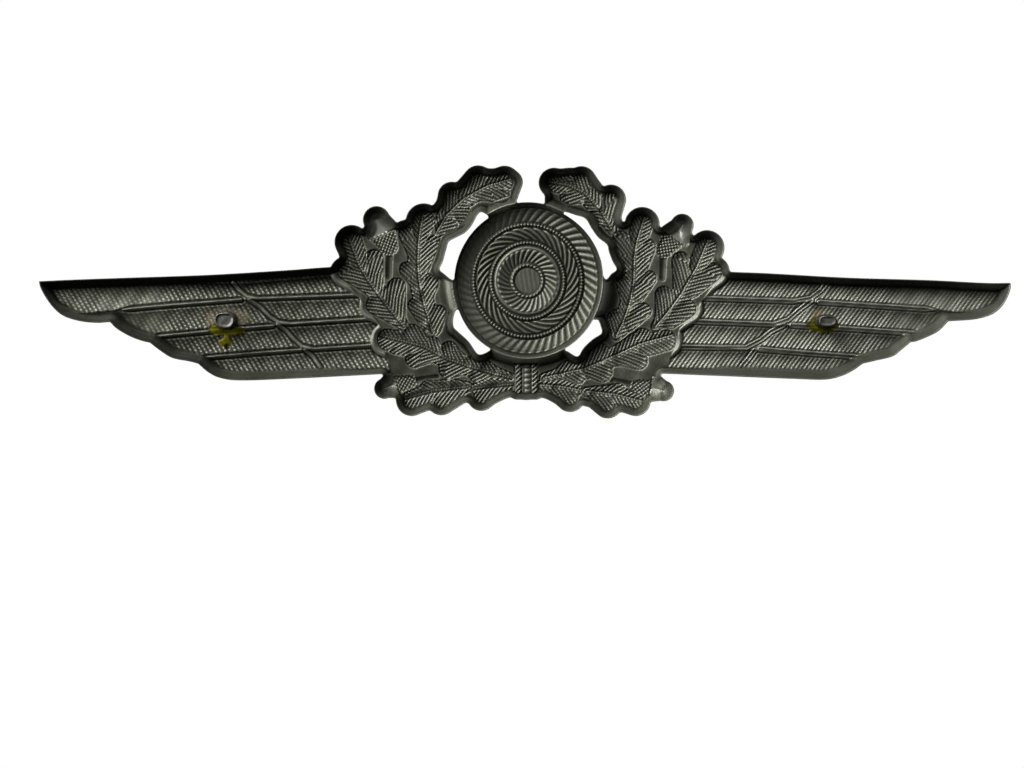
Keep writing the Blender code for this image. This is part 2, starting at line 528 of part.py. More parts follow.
def build_fastener(side, prong_mat, solder_mat):
    place = PRONG_AT[side]
    wide, thick = (size / 2 for size in PRONG_SIZE[side])
    floor = -FLOOR
    reach = [wide + SOLDER_REACH[0], thick + SOLDER_REACH[1]]
    mound = [section(place, reach[0], reach[1], floor, power=0.8),
             section(place, reach[0] - 0.03, reach[1] - 0.04, floor + 0.35 * SOLDER_HEIGHT, power=0.7),
             section(place, wide + 0.10, thick + 0.12, floor + 0.85 * SOLDER_HEIGHT, power=0.4),
             section(place, wide + FIT, thick + FIT, floor + SOLDER_HEIGHT),
             section(place, wide + FIT, thick + FIT, floor)]
    skin(side + "_solder", mound, solder_mat, closed=True)
    top = PIVOT_HEIGHT - thick - FOLD_GAP
    skin(side + "_prong_root", [section(place, wide, thick, floor), section(place, wide, thick, top)],
         prong_mat)
    # the tail: a flat strip whose inner end is rounded about the fold line
    profile = [(thick * math.sin(a), PIVOT_HEIGHT - thick * math.cos(a))
               for a in np.linspace(-math.pi / 2, math.pi / 2, 13)]
    tip = TIP_TAPER * thick
    profile += [(tip, TIP_HEIGHT - 0.25), (tip / 2, TIP_HEIGHT), (-tip / 2, TIP_HEIGHT),
                (-tip, TIP_HEIGHT - 0.25)]
    rings = []
    for share in (-1, 1):
        ring = []
        for across, height in profile:
            t = min(max((height - PIVOT_HEIGHT) / (TIP_HEIGHT - PIVOT_HEIGHT), 0), 1)
            half = wide * (1 + (TIP_TAPER - 1) * t)
            ring.append((place[0] + share * half, place[1] + across, height))
        rings.append(ring)
    skin(side + "_prong_tail", rings, prong_mat)


shell = material("struck_zinc", (0.16, 0.165, 0.14), 0.9, 0.45)
prong = material("prong_metal", (0.30, 0.29, 0.25), 0.9, 0.5)
solder = material("solder", (0.25, 0.24, 0.20), 0.8, 0.55)
build_stamping(shell)
for side in ("left", "right"):
    build_fastener(side, prong, solder)
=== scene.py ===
"""The looks of the winged oak-wreath cap badge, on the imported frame.

Shapes are set out in the back view in millimetres: u to the right, v up, so x = -u and z = v, and
depth is measured from the rim plane towards the front, so y = -depth."""

import math

import bmesh
import bpy
import numpy as np
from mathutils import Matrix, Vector


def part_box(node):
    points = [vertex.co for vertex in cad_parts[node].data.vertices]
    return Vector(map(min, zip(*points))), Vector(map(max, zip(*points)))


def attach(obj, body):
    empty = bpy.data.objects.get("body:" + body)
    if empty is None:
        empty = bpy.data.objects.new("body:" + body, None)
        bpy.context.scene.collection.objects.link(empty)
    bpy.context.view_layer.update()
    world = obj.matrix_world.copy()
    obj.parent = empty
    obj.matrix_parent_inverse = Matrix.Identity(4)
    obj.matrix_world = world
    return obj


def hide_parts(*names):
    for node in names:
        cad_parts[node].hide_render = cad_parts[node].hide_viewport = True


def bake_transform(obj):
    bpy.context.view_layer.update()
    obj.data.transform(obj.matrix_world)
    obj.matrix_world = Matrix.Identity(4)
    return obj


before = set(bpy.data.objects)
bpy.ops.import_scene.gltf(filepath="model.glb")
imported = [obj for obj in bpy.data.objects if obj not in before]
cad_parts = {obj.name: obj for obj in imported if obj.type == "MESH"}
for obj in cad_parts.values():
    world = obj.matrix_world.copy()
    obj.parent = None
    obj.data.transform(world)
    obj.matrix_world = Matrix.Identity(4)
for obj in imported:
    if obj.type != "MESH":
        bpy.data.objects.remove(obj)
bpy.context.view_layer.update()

MM = 0.001

# ---- driving dimensions, millimetres -----------------------------------
PITCH = 0.1     # spacing of the relief's grid
SHEET = 0.42                             # thickness of the struck sheet
RIM_LAND = 0.14                          # flat width of the rim, on the back
EDGE_LAND = 0.20                         # height of the cut edge
WALL_SLOPE = 2.1                         # rise over run of the drafted walls
LEAF_MARGIN = 0.80                       # from a leaf's outline to the badge's edge
BLADE_GROW = 0.25                        # a leaf's blade reaches this far past its lobes
NOTCH = 0.35                             # gaps narrower than this are closed
EDGE_REACH = 2.2                         # distances from the edge are measured up to this
ACORN_MARGIN = 0.50                      # from an acorn's outline to the badge's edge
FLOOR = 1.50                             # depth of the ground below the rim plane
LEAF_STEP = 0.26                         # leaves lie this much deeper than the ground
LEAF_PUFF = 0.24                         # extra depth in the middle of a lobe
VEIN_PITCH = 0.56                        # along the midrib
VEIN_LEAN = 1.10                         # how far a vein runs towards the tip as it goes outwards
VEIN_RISE = 0.20
BEAD_PITCH = 0.33                        # along a vein
ACORN_STEP = 0.40                        # nuts lie this much deeper than the ground
FRONT_CRISP = 1.25                       # how strongly the fine relief shows on the front
FRONT_DEPTH = -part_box("stamping")[0][1] / MM    # how far the CAD's stamping reaches in front
NUT_GROW = 0.25                          # nuts stand nearer the edge than the other forms
COCKADE_RADIUS = 9.45
COCKADE_CENTRE = (-0.1, 0.0)
SQUASH = 0.965                           # the cockade is a little taller than it is wide
COCKADE_EDGE = (0.1, -0.36, 9.4)         # the cut edge that faces the openings
TIE_CENTRE, TIE_HALF = (-0.3, -12.4), (1.55, 2.1)
PRONG_AT = {"left": (-37.85, -5.0), "right": (37.2, -5.1)}
VIEW_AT = (-2.06, -12.94)                # what the camera looks at, u and v
VIEW_FROM = 590.0                        # the camera's distance
VIEW_WIDE = 128.0                        # width of the picture at the rim plane

# ---- leaves: midrib points, then lobes as tip (u, v, radius) and base (u, v, radius) ----
LEAVES = {
    "left_crown": (
        [(-2.9, 12.5), (-5.0, 11.9), (-8.0, 10.3), (-10.2, 8.2), (-11.5, 6.0)],
        [(-3.0, 12.4, 0.9, -6.5, 11.2, 0.8), (-6.3, 12.5, 0.85, -8.4, 10.0, 0.9),
         (-9.6, 10.6, 0.7, -9.8, 8.6, 0.9), (-3.4, 10.8, 0.85, -6.6, 11.2, 0.8),
         (-8.2, 8.2, 0.9, -9.4, 8.9, 0.8), (-9.9, 7.2, 0.85, -11.0, 6.6, 0.7)]),
    "left_inner": (
        [(-13.3, 7.8), (-13.7, 5.0), (-13.8, 2.5), (-13.7, 0.4), (-13.4, -1.3), (-13.0, -3.0),
         (-12.5, -4.7), (-12.0, -6.4)],
        [(-13.1, 7.4, 1.2, -13.6, 5.0, 0.9), (-15.3, 5.8, 0.75, -13.8, 3.0, 0.9),
         (-12.1, 4.9, 0.85, -13.3, 2.2, 0.9), (-15.2, 1.4, 0.75, -13.9, -0.2, 0.8),
         (-12.2, -0.2, 0.75, -12.9, -2.2, 0.7), (-14.2, -3.1, 0.7, -13.2, -4.8, 0.6),
         (-11.3, -4.1, 0.85, -11.8, -5.9, 0.7)]),
    "left_outer": (
        [(-22.2, 4.6), (-21.2, 2.0), (-20.2, 0.3), (-19.0, -1.4), (-17.8, -3.0), (-16.8, -4.2),
         (-15.6, -5.7)],
        [(-22.1, 4.8, 1.1, -21.0, 1.9, 0.9), (-22.9, 1.1, 0.85, -19.7, -0.4, 1.2),
         (-19.2, -3.1, 0.95, -17.0, -4.1, 1.0), (-19.3, 2.8, 0.9, -19.3, -0.3, 0.9),
         (-16.5, -0.8, 0.95, -16.7, -3.7, 1.1)]),
    "left_lower": (
        [(-18.0, -7.0), (-16.0, -7.5), (-13.0, -8.3), (-10.0, -9.9), (-6.0, -11.2), (-2.2, -12.2)],
        [(-17.6, -7.4, 1.15, -15.2, -8.0, 1.1), (-16.6, -8.1, 0.9, -14.6, -8.4, 0.9),
         (-14.6, -6.8, 1.15, -12.4, -8.2, 1.2),
         (-9.9, -8.7, 0.9, -8.8, -10.2, 1.0), (-5.2, -10.9, 0.7, -4.5, -11.4, 0.6),
         (-14.3, -9.8, 0.9, -12.2, -9.0, 1.0), (-10.0, -11.1, 1.0, -8.4, -10.6, 1.0),
         (-6.6, -11.9, 0.6, -5.4, -11.6, 0.6)]),
    "left_bottom": (
        [(-15.0, -14.6), (-12.0, -13.8), (-9.5, -13.5), (-7.6, -13.3)],
        [(-14.6, -15.0, 0.9, -11.5, -13.9, 0.8), (-12.6, -13.2, 0.6, -10.6, -13.6, 0.8),
         (-10.9, -15.0, 0.8, -9.0, -13.7, 0.9)]),
    "left_small": (
        [(-6.6, -13.5), (-4.5, -13.2), (-2.0, -13.0)],
        [(-5.9, -14.5, 0.75, -4.2, -13.4, 0.6)]),
    "right_crown": (
        [(2.9, 12.3), (5.0, 12.0), (7.2, 10.9), (9.1, 8.9), (10.5, 6.4)],
        [(3.2, 12.2, 0.85, 6.3, 11.4, 0.8), (6.6, 12.4, 0.85, 8.2, 9.9, 0.9),
         (10.3, 10.1, 0.85, 9.8, 8.3, 0.8), (4.9, 10.4, 0.75, 6.8, 10.8, 0.8),
         (8.4, 7.9, 0.85, 9.4, 8.4, 0.8)]),
    "right_inner": (
        [(14.3, 7.0), (13.7, 5.0), (13.35, 3.0), (13.3, 0.0), (13.0, -1.8), (12.5, -3.7),
         (11.9, -5.3), (11.1, -6.9)],
        [(14.2, 7.0, 1.15, 13.6, 4.8, 0.9), (11.6, 5.2, 0.85, 13.0, 2.5, 0.9),
         (14.9, 4.2, 0.85, 13.8, 1.6, 0.9), (11.9, -0.2, 0.75, 12.5, -2.8, 0.6),
         (15.1, 0.3, 0.75, 13.6, -1.6, 0.9), (10.9, -4.6, 0.8, 11.3, -6.2, 0.8),
         (14.4, -3.8, 0.8, 12.6, -5.4, 0.7)]),
    "right_outer": (
        [(22.2, 4.1), (21.2, 1.7), (20.2, 0.0), (19.3, -1.6), (18.3, -3.0), (17.2, -4.4),
         (16.0, -5.8)],
        [(22.3, 4.1, 1.15, 21.0, 1.6, 0.9), (19.1, 2.5, 0.9, 19.3, -0.7, 0.95),
         (17.0, -1.8, 0.9, 17.0, -4.2, 0.9), (23.2, 1.1, 0.9, 20.3, -0.8, 1.2),
         (19.9, -3.5, 0.95, 17.8, -4.9, 0.9)]),
    "right_lower": (
        [(17.6, -7.0), (14.0, -8.0), (11.0, -9.4), (7.0, -11.1), (2.0, -12.2)],
        [(17.2, -7.5, 1.1, 14.6, -8.2, 1.1), (14.3, -7.2, 1.05, 12.0, -8.9, 1.1),
         (9.0, -8.9, 0.9, 8.0, -10.4, 1.0), (4.8, -10.9, 0.7, 4.2, -11.4, 0.6),
         (13.8, -10.0, 0.95, 11.7, -9.4, 1.0), (9.3, -11.5, 1.0, 7.8, -10.9, 1.0),
         (6.2, -12.2, 0.6, 5.0, -11.7, 0.6)]),
    "right_bottom": (
        [(13.6, -15.0), (11.0, -14.3), (7.4, -13.9)],
        [(13.4, -15.1, 0.8, 11.0, -14.3, 0.8), (11.3, -13.6, 0.6, 9.6, -14.1, 0.7),
         (9.9, -15.4, 0.8, 8.6, -14.3, 0.8)]),
    "right_small": (
        [(6.2, -13.7), (4.0, -13.3), (1.6, -13.1)],
        [(5.2, -14.6, 0.8, 3.6, -13.5, 0.6)]),
}

# ---- acorns: nut tip, nut shoulder, cup, each (u, v, radius) -----------
ACORNS = {
    "left_upper": ((-19.0, 7.6, 1.2), (-18.5, 6.4, 1.7), (-17.5, 4.3, 1.2)),
    "left_lower": ((-18.0, -13.5, 0.8), (-17.1, -13.1, 1.25), (-14.9, -12.7, 0.9)),
    "right_upper": ((19.2, 6.9, 0.95), (18.6, 5.8, 1.6), (17.1, 3.9, 1.1)),
    "right_lower": ((16.9, -13.8, 0.8), (15.9, -13.5, 1.25), (13.7, -13.3, 0.9)),
}

# ---- wings: runs of outline, corners between runs ----------------------
WINGS = {
    "left": [
        [(-15, 2.0), (-24.5, 1.7), (-30, 1.3), (-40, 0.7), (-50, 0.35), (-57, 0.1), (-61.2, -0.1)],
        [(-61.2, -0.1), (-61.0, -0.9), (-60.3, -2.2), (-59.3, -3.5), (-58, -4.5), (-56, -5.1),
         (-54, -5.3), (-52.3, -5.2)],
        [(-52.3, -5.2), (-51.5, -6), (-50, -6.9), (-48.5, -7.5), (-47.3, -7.8)],
        [(-47.3, -7.8), (-46, -8.8), (-44.5, -9.7), (-42.5, -10.1), (-41.3, -10.4)],
        [(-41.3, -10.4), (-40, -11.5), (-38.5, -12.2), (-36, -12.5), (-30, -12.3), (-20, -11.8),
         (-17, -11.6)],
        [(-17, -11.6), (-13, -8)], [(-13, -8), (-13, -2)], [(-13, -2), (-15, 2.0)]],
    "right": [
        [(15, 1.6), (25, 1.1), (30, 0.9), (40, 0.35), (50, 0.05), (57, -0.3), (60.3, -0.3)],
        [(60.3, -0.3), (60.2, -1.3), (59.5, -2.8), (58.5, -3.9), (57.3, -4.5), (55.5, -4.9),
         (52.5, -5.1)],
        [(52.5, -5.1), (51.3, -6.3), (50, -7), (48.5, -7.6), (47.8, -7.7)],
        [(47.8, -7.7), (46.7, -8.6), (45.5, -9.5), (43.5, -10), (41.8, -10.4)],
        [(41.8, -10.4), (40.5, -11.3), (39, -12), (37, -12.4), (33, -12.3), (18, -11.7),
         (16, -11.6)],
        [(16, -11.6), (12, -8)], [(12, -8), (12, -2)], [(12, -2), (15, 1.6)]],
}
SHAFTS = [
    [(-52.5, -3.8), (-45, -3.1), (-36, -2.4)],
    [(-46.5, -7.0), (-39, -6.3), (-32, -5.7)],
    [(-40.8, -9.7), (-34, -9.1), (-28.5, -8.7)],
    [(-37, -0.2), (-36.2, -1.2), (-35.2, -1.95), (-33.8, -2.25), (-28, -2.05), (-21, -1.8)],
    [(-35, -2.4), (-33.6, -3.3), (-32.3, -4.6), (-31.3, -5.2), (-29.8, -5.4), (-20, -4.8)],
    [(-31.5, -5.4), (-30.3, -6.3), (-29.4, -7.3), (-28.4, -8.2), (-26.9, -8.6), (-19, -8.1)],
    [(-28, -8.7), (-27, -9.5), (-26, -10.9)],
    [(36.5, -2.7), (44, -3.2), (51.8, -3.7)],
    [(33, -5.6), (41, -6.1), (48.5, -6.6)],
    [(29, -8.6), (35, -9.1), (42.2, -9.6)],
    [(21.5, -2.2), (28, -2.4), (33.3, -2.6), (35.4, -2.2), (36.7, -1.2), (37.5, -0.2)],
    [(20.5, -5.1), (26, -5.3), (30.8, -5.5), (32.6, -4.9), (33.8, -3.8), (35.5, -2.5)],
    [(18.5, -8.3), (24, -8.4), (27.3, -8.4), (29.2, -7.4), (30.4, -6.4), (32, -5.6)],
    [(26.6, -10.9), (27.5, -9.9), (28.4, -8.7)],
]

# ---- webs of plain floor that join the parts of the wreath, (u, v) to (u, v), radius ----
WEBS = [
    (-11, 3, -15, -4, 2.2), (-9, -1.5, -12, -2.0, 1.2), (-17, 3.5, -17.3, -1, 1.5),
    (11, 3, 14, -4, 2.0), (9, -1.5, 12, -2.0, 1.2), (17, 2.5, 17, -1, 1.5),
    (-2.2, 12.3, -2.9, 10.4, 1.5), (-3.0, 10.0, -8, 9.2, 1.0), (3.2, 10.0, 8, 8.6, 1.15),
    (-2.6, 9.3, -5.2, 8.7, 0.9), (2.9, 10.9, 3.0, 9.8, 0.9), (-4.4, -9.9, 4.4, -9.9, 0.9),
    (-0.3, -10.9, -0.3, -13.6, 1.3), (-2.2, -13.2, 1.7, -13.2, 1.2), (-1.4, -13.7, 0.9, -13.7, 1.2),
    (-9, -9, -4.5, -10.2, 0.7), (9, -9.4, 4.5, -10.2, 0.7), (-15, -10.5, -5, -13, 1.6),
    (13, -10.5, 5, -12.8, 1.6), (-15.5, -12, -13, -11, 1.2), (15, -12, 12.5, -11.3, 1.2),
    (-6.6, -14.6, -7.6, -14.4, 0.9), (7.4, -14.9, 6.4, -14.6, 0.9),
    (-10.4, 5.2, -7.2, 7.6, 1.3), (8.6, 7.4, 10.6, 5.2, 1.3), (-9.4, -2.0, -10.0, -4.8, 1.2),
    (-10.0, -6.8, -7.4, -9.0, 1.45), (9.3, -2.2, 9.6, -4.6, 1.3), (9.9, -6.4, 7.4, -9.4, 1.3),
    (-6.4, -9.8, -4.4, -9.7, 1.0), (6.2, -9.9, 4.4, -9.7, 0.9), (-9.0, -1.0, -11.0, -0.9, 1.35),
    (9.0, -0.9, 11.0, -0.7, 1.35),
]
# ---- pierced openings round the cockade: the outer side of each as a smooth run; the cockade's
# own edge closes the inner side -----------------------------------------
OPENINGS = [
    [(-4.6, 7.6), (-5.2, 8.2), (-5.9, 8.55), (-6.4, 8.15), (-7.1, 6.9), (-7.9, 6.0), (-9.1, 5.35),
     (-9.95, 4.85), (-10.25, 4.0), (-10.7, 2.4), (-11.1, 1.4), (-10.5, 0.8), (-9.6, 0.1),
     (-8.4, -0.3)],
    [(-8.4, -3.0), (-9.1, -3.8), (-9.4, -4.8), (-9.35, -5.8), (-8.8, -6.4), (-7.5, -7.6),
     (-6.6, -8.9), (-6.1, -9.25), (-5.3, -9.0), (-4.4, -8.4)],
    [(3.8, 8.4), (4.5, 8.6), (5.8, 8.2), (7.1, 7.75), (7.8, 6.65), (8.7, 5.4), (9.8, 4.5),
     (10.05, 3.6), (10.5, 2.4), (11.0, 1.4), (10.3, 0.8), (9.8, 0.2), (8.6, -0.3)],
    [(7.6, -4.2), (8.6, -4.8), (9.05, -5.8), (9.1, -6.6), (8.0, -7.35), (6.9, -8.4), (6.35, -9.3),
     (5.9, -9.45), (5.0, -8.9), (4.2, -8.3)],
]


def capsule(u, v, a, b, ra, rb):
    """Distance to a bar from a to b with round ends, ra thick at a and rb at b."""
    du, dv = b[0] - a[0], b[1] - a[1]
    t = np.clip(((u - a[0]) * du + (v - a[1]) * dv) / (du * du + dv * dv + 1e-12), 0, 1)
    return np.hypot(u - a[0] - t * du, v - a[1] - t * dv) - (ra + (rb - ra) * t)


def blend_min(a, b, k):
    """The lesser of two fields, rounded where they are within k of each other."""
    h = np.clip(0.5 + 0.5 * (b - a) / k, 0, 1)
    return b + (a - b) * h - k * h * (1 - h)


def smooth_run(points, steps):
    """A Catmull-Rom curve through a run of outline points, without its last point."""
    p = [np.array(q, float) for q in points]
    if len(p) == 2:
        return p[:1]
    p = [2 * p[0] - p[1]] + p + [2 * p[-1] - p[-2]]
    out = []
    for a, b, c, d in zip(p, p[1:], p[2:], p[3:]):
        for s in range(steps):
            t = s / steps
            out.append(0.5 * (2 * b + (c - a) * t + (2 * a - 5 * b + 4 * c - d) * t * t
                              + (3 * b - a - 3 * c + d) * t ** 3))
    return out


def polygon_distance(u, v, points):
    dist = np.full(np.shape(u), 1e9)
    inside = np.zeros(np.shape(u), bool)
    for a, b in zip(points, points[1:] + points[:1]):
        dist = np.minimum(dist, capsule(u, v, a, b, 0, 0))
        if a[1] != b[1]:
            cross = a[0] + (v - a[1]) * (b[0] - a[0]) / (b[1] - a[1])
            inside ^= ((a[1] > v) != (b[1] > v)) & (u < cross)
    return np.where(inside, -dist, dist)


def rib_widths(rib, k):
    """Half widths of the blade along the midrib: full in the middle, narrow at both ends."""
    return [min(0.45 + 0.55 * min(i, len(rib) - 1 - i), 1.0) for i in (k, k + 1)]


def cockade_radius(u, v):
    return np.hypot(u - COCKADE_CENTRE[0], SQUASH * (v - COCKADE_CENTRE[1]))


def tie_distance(u, v):
    return np.maximum(np.abs(u - TIE_CENTRE[0]) - TIE_HALF[0],
                      np.abs(v - TIE_CENTRE[1]) - TIE_HALF[1])


def ramp(x, lo, hi):
    return np.clip((x - lo) / (hi - lo), 0, 1)


def ease(x, lo, hi):
    t = ramp(x, lo, hi)
    return t * t * (3 - 2 * t)


def ribs(phase, sharp=0.7):
    """Rounded ridges, one per turn of phase, from 0 in the valleys to 1 on the crests."""
    return (0.5 + 0.5 * np.cos(phase)) ** sharp


def along_line(u, v, line):
    """Distance to a polyline, its signed side, and how far along it the nearest point lies."""
    dist = np.full(np.shape(u), 1e9)
    side, along = np.zeros(np.shape(u)), np.zeros(np.shape(u))
    start = 0.0
    for a, b in zip(line, line[1:]):
        du, dv, long = b[0] - a[0], b[1] - a[1], math.dist(a, b)
        t = np.clip(((u - a[0]) * du + (v - a[1]) * dv) / long ** 2, 0, 1)
        d = np.hypot(u - a[0] - t * du, v - a[1] - t * dv)
        near = d < dist
        side = np.where(near, np.sign(du * (v - a[1]) - dv * (u - a[0])), side)
        along = np.where(near, start + t * long, along)
        dist = np.minimum(dist, d)
        start += long
    return dist, side, along


def leaf_relief(u, v, leaf):
    """Distance to a leaf's outline, its lobes' swelling, its beaded veins, and its midrib."""
    rib, lobes = leaf
    near, second, dist = (np.full(np.shape(u), 1e9) for _ in range(3))
    for tu, tv, tr, bu, bv, br in lobes:
        d = capsule(u, v, (tu, tv), (bu, bv), tr, br)
        second = np.minimum(second, np.maximum(near, d))
        near = np.minimum(near, d)
        dist = blend_min(dist, d, 0.3)
    for k, (a, b) in enumerate(zip(rib, rib[1:])):
        dist = blend_min(dist, capsule(u, v, a, b, *rib_widths(rib, k)), 0.3)
    ahead = (2.5 * rib[0][0] - 1.5 * rib[1][0], 2.5 * rib[0][1] - 1.5 * rib[1][1])
    off, side, run = along_line(u, v, [ahead] + rib)
    lean = VEIN_LEAN * off * (1 - 0.06 * off) / (1 + 0.5 * np.exp(-off / 0.5))
    turn = (run + lean) / VEIN_PITCH + 0.5 * (side > 0)
    beads = ribs(2 * math.pi * (off * 1.3 / BEAD_PITCH + 0.5 * np.round(turn)), 0.7)
    veins = ribs(2 * math.pi * turn, 0.8) * (0.60 + 0.40 * beads) * ease(off, 0.08, 0.30)
    swell = 1 - (1 - ramp(-near, -0.15, 0.60)) ** 2
    swell = swell - 0.7 * np.exp(-((second - near) / 0.16) ** 2) * ease(off, 0.5, 1.3)
    mid = ribs(2 * math.pi * run / 0.33, 0.7) * np.exp(-(off / 0.10) ** 2) - 1.2 * np.exp(
        -((off * side + 0.20) / 0.08) ** 2)
    return dist - BLADE_GROW, swell, veins, mid


def acorn_relief(u, v, acorn):
    """Distances to an acorn's nut and cup, how far towards the tip, and the cup's lattice."""
    tip, shoulder, cup = acorn
    nut = capsule(u, v, tip[:2], shoulder[:2], tip[2], shoulder[2])
    cap = capsule(u, v, shoulder[:2], cup[:2], shoulder[2] * 1.02, cup[2])
    long = math.hypot(tip[0] - cup[0], tip[1] - cup[1])
    au, av = (tip[0] - cup[0]) / long, (tip[1] - cup[1]) / long
    along = (u - shoulder[0]) * au + (v - shoulder[1]) * av + 0.55
    across = (v - shoulder[1]) * au - (u - shoulder[0]) * av
    lattice = ribs(2 * math.pi * (across + along) / 0.52) * ribs(2 * math.pi * (across - along) / 0.52)
    return nut, cap, along, lattice


STEMS = [((-17.4, 3.2), (-17.5, 0.5)), ((16.9, 2.8), (16.8, 0.3)), ((-13.9, -12.5), (-11.5, -12.1)),
         ((12.8, -13.0), (10.6, -12.5))]
ROWS = {         # where one row of feathers ends and the next begins, u against v
    "left": ([-62, -45, -36, -22, -15], [(0.4, -0.1, -0.4, 0.8, 1.2), (-4.6, -3.1, -2.35, -1.8, -1.5),
             (-8.4, -6.85, -5.9, -4.9, -4.6), (-11.6, -10.0, -9.2, -8.2, -7.7),
             (-13.2, -12.0, -11.8, -11.2, -10.8)]),
    "right": ([15, 22, 36, 45, 62], [(1.0, 0.6, -0.1, -0.6, -1.0), (-1.9, -2.2, -2.7, -3.25, -4.4),
              (-4.9, -5.1, -5.75, -6.4, -7.8), (-8.1, -8.3, -9.1, -9.8, -11.2),
              (-11.0, -11.1, -11.7, -12.0, -13.2)]),
}

BARBS = {"left": (58, 0.62, 0.20), "right": (53, 0.55, 0.13)}     # tilt in degrees, pitch, rise


def wing_relief(u, v, side):
    """Barbs, shafts and the hollow of each row of feathers, positive rising from the floor; and the
    feathers' painted light: highlight and shade along the shafts, and each row painted darker at its top
    and lighter at its bottom.
    """
    sign = 1 if side == "left" else -1
    tilt, pitch, rise = BARBS[side]
    across = sign * u + v / math.tan(math.radians(tilt))
    at, rows = ROWS[side]
    hollow = np.zeros(np.shape(u))
    low = np.zeros(np.shape(u))
    for above, below in zip(rows, rows[1:]):
        top, bottom = np.interp(u, at, above), np.interp(u, at, below)
        t = (top - v) / (top - bottom)
        hit = (t > 0) & (t <= 1)
        hollow = np.where(hit, np.sin(math.pi * ramp(t, 0, 1) ** 0.62), hollow)
        low = np.where(hit, t, low)
    shaft = np.full(np.shape(u), 1e9)
    for line in SHAFTS:
        if (line[0][0] < 0) == (side == "left"):
            shaft = np.minimum(shaft, along_line(u, v, line)[0])
    barbs = ribs(2 * math.pi * across / pitch, 0.8)
    count = np.round(across / pitch)
    cross = ribs(2 * math.pi * (v / 0.40 + 0.37 * count), 0.6)
    barbs = barbs * (0.55 + 0.45 * cross) * (0.40 + 0.80 * low) * (1 + 0.15 * np.sin(2.4 * count))
    worn = 1 - 0.6 * ease(np.abs(u), 44, 47) * (1 - 0.5 * ease(np.abs(u), 52.5, 54.5))
    shaft = shaft + 0.5 * ease(np.abs(u), 49.5, 52.5)
    height = rise * worn * barbs * ease(shaft, 0.38, 0.55) - 0.30 * hollow
    # glint: painted shade on the left wing's shafts; on the right wing, painted highlight in lines
    # beside each shaft and painted shade on its middle
    if side == "left":
        band = 1 - ease(shaft, 0.12, 0.25)
        height, glint = height + 0.11 * band, -0.03 * band
    else:
        lines = np.exp(-((shaft - 0.25) / 0.09) ** 2)
        height, glint = height + 0.16 * lines, 0.34 * lines - 0.08 * np.exp(-(shaft / 0.12) ** 2)
    height = height - 0.15 * np.exp(-((shaft - 0.35) / 0.08) ** 2)
    film, _ = residue_at(u, v)
    pit = np.hypot(u + 37.75, v + 8.28)
    height = height * (1 - 0.8 * film) - 0.10 * film - 0.30 * (1 - ease(pit, 0.15, 0.38))
    # painted shade and light: each row darker at its top, under the shaft, and lighter towards its
    # bottom
    return height, glint + (0.42 * (ramp(low, 0.0, 0.9) - 0.6)) * (shaft > 0.35)


def cockade_relief(u, v):
    """Depth of the cockade below the rim plane."""
    r = cockade_radius(u, v)
    turn = np.arctan2(v - COCKADE_CENTRE[1], u - COCKADE_CENTRE[0])
    log = np.log(np.maximum(r, 0.5))
    profile = [(0.0, 2.00), (1.45, 2.00), (1.62, 2.03), (1.9, 1.86), (2.15, 1.98), (2.4, 2.02),
               (3.3, 1.78), (4.0, 1.56), (4.3, 1.80), (4.6, 1.60), (4.88, 1.84), (5.1, 1.80),
               (5.7, 1.66), (6.3, 1.62), (6.5, 1.76), (6.8, 1.52), (7.08, 1.78), (7.4, 1.70),
               (8.0, 1.48), (8.5, 1.22), (8.85, 0.92), (9.1, 0.45), (9.3, 0.08), (9.4, 0.0), (12, 0.0)]
    depth = np.interp(r, [p[0] for p in profile], [p[1] for p in profile])

    def band(lo, hi, soft=0.12):
        return ease(r, lo, lo + soft) * (1 - ease(r, hi - soft, hi))

    worn = 0.25 + 0.75 * (0.5 + 0.5 * np.cos(turn + 0.3))
    outer = ribs(54 * (turn + 0.65 * log), 0.6) * band(7.08, 8.85, 0.2) * worn
    middle = ribs(32 * (turn - 1.7 * log), 0.8) * band(4.92, 6.5)
    inner = ribs(31 * (turn + 0.55 * log), 0.6) * band(2.15, 3.9, 0.3)
    beads = ribs(105 * turn, 0.7) * np.sqrt(np.clip(1 - ((r - 6.8) / 0.26) ** 2, 0, 1))
    rope = ribs(76 * turn, 0.7) * np.sqrt(np.clip(1 - ((r - 4.6) / 0.24) ** 2, 0, 1))
    fine = ribs(26 * (turn + 0.6 * log), 0.6) * np.sqrt(np.clip(1 - ((r - 1.9) / 0.24) ** 2, 0, 1))
    brushed = 0.012 * np.sin(11 * (u + 0.15 * v)) * (r < 1.45)
    return (depth - 0.21 * outer - 0.20 * middle - 0.17 * inner - 0.25 * beads - 0.22 * rope
            - 0.19 * fine - brushed)


def tie_relief(u, v):
    """Rope bands either side of a column of bars; positive rises."""
    a, b, c = (u + 1.27) / 0.42, (u - 0.83) / 0.38, (u + 0.10) / 0.44
    strands = 0.25 + 0.75 * ribs(2 * math.pi * (v - 0.9 * u) / 0.56)
    ropes = (np.sqrt(np.clip(1 - a * a, 0, 1)) + np.sqrt(np.clip(1 - b * b, 0, 1))) * strands
    bars = np.sqrt(np.clip(1 - c * c, 0, 1)) * (0.35 + 0.65 * ribs(2 * math.pi * v / 0.66, 0.4))
    lines = np.exp(-((np.abs(u + 0.10) - 0.56) / 0.07) ** 2)
    return 0.32 * ropes + 0.24 * bars + 0.16 * lines


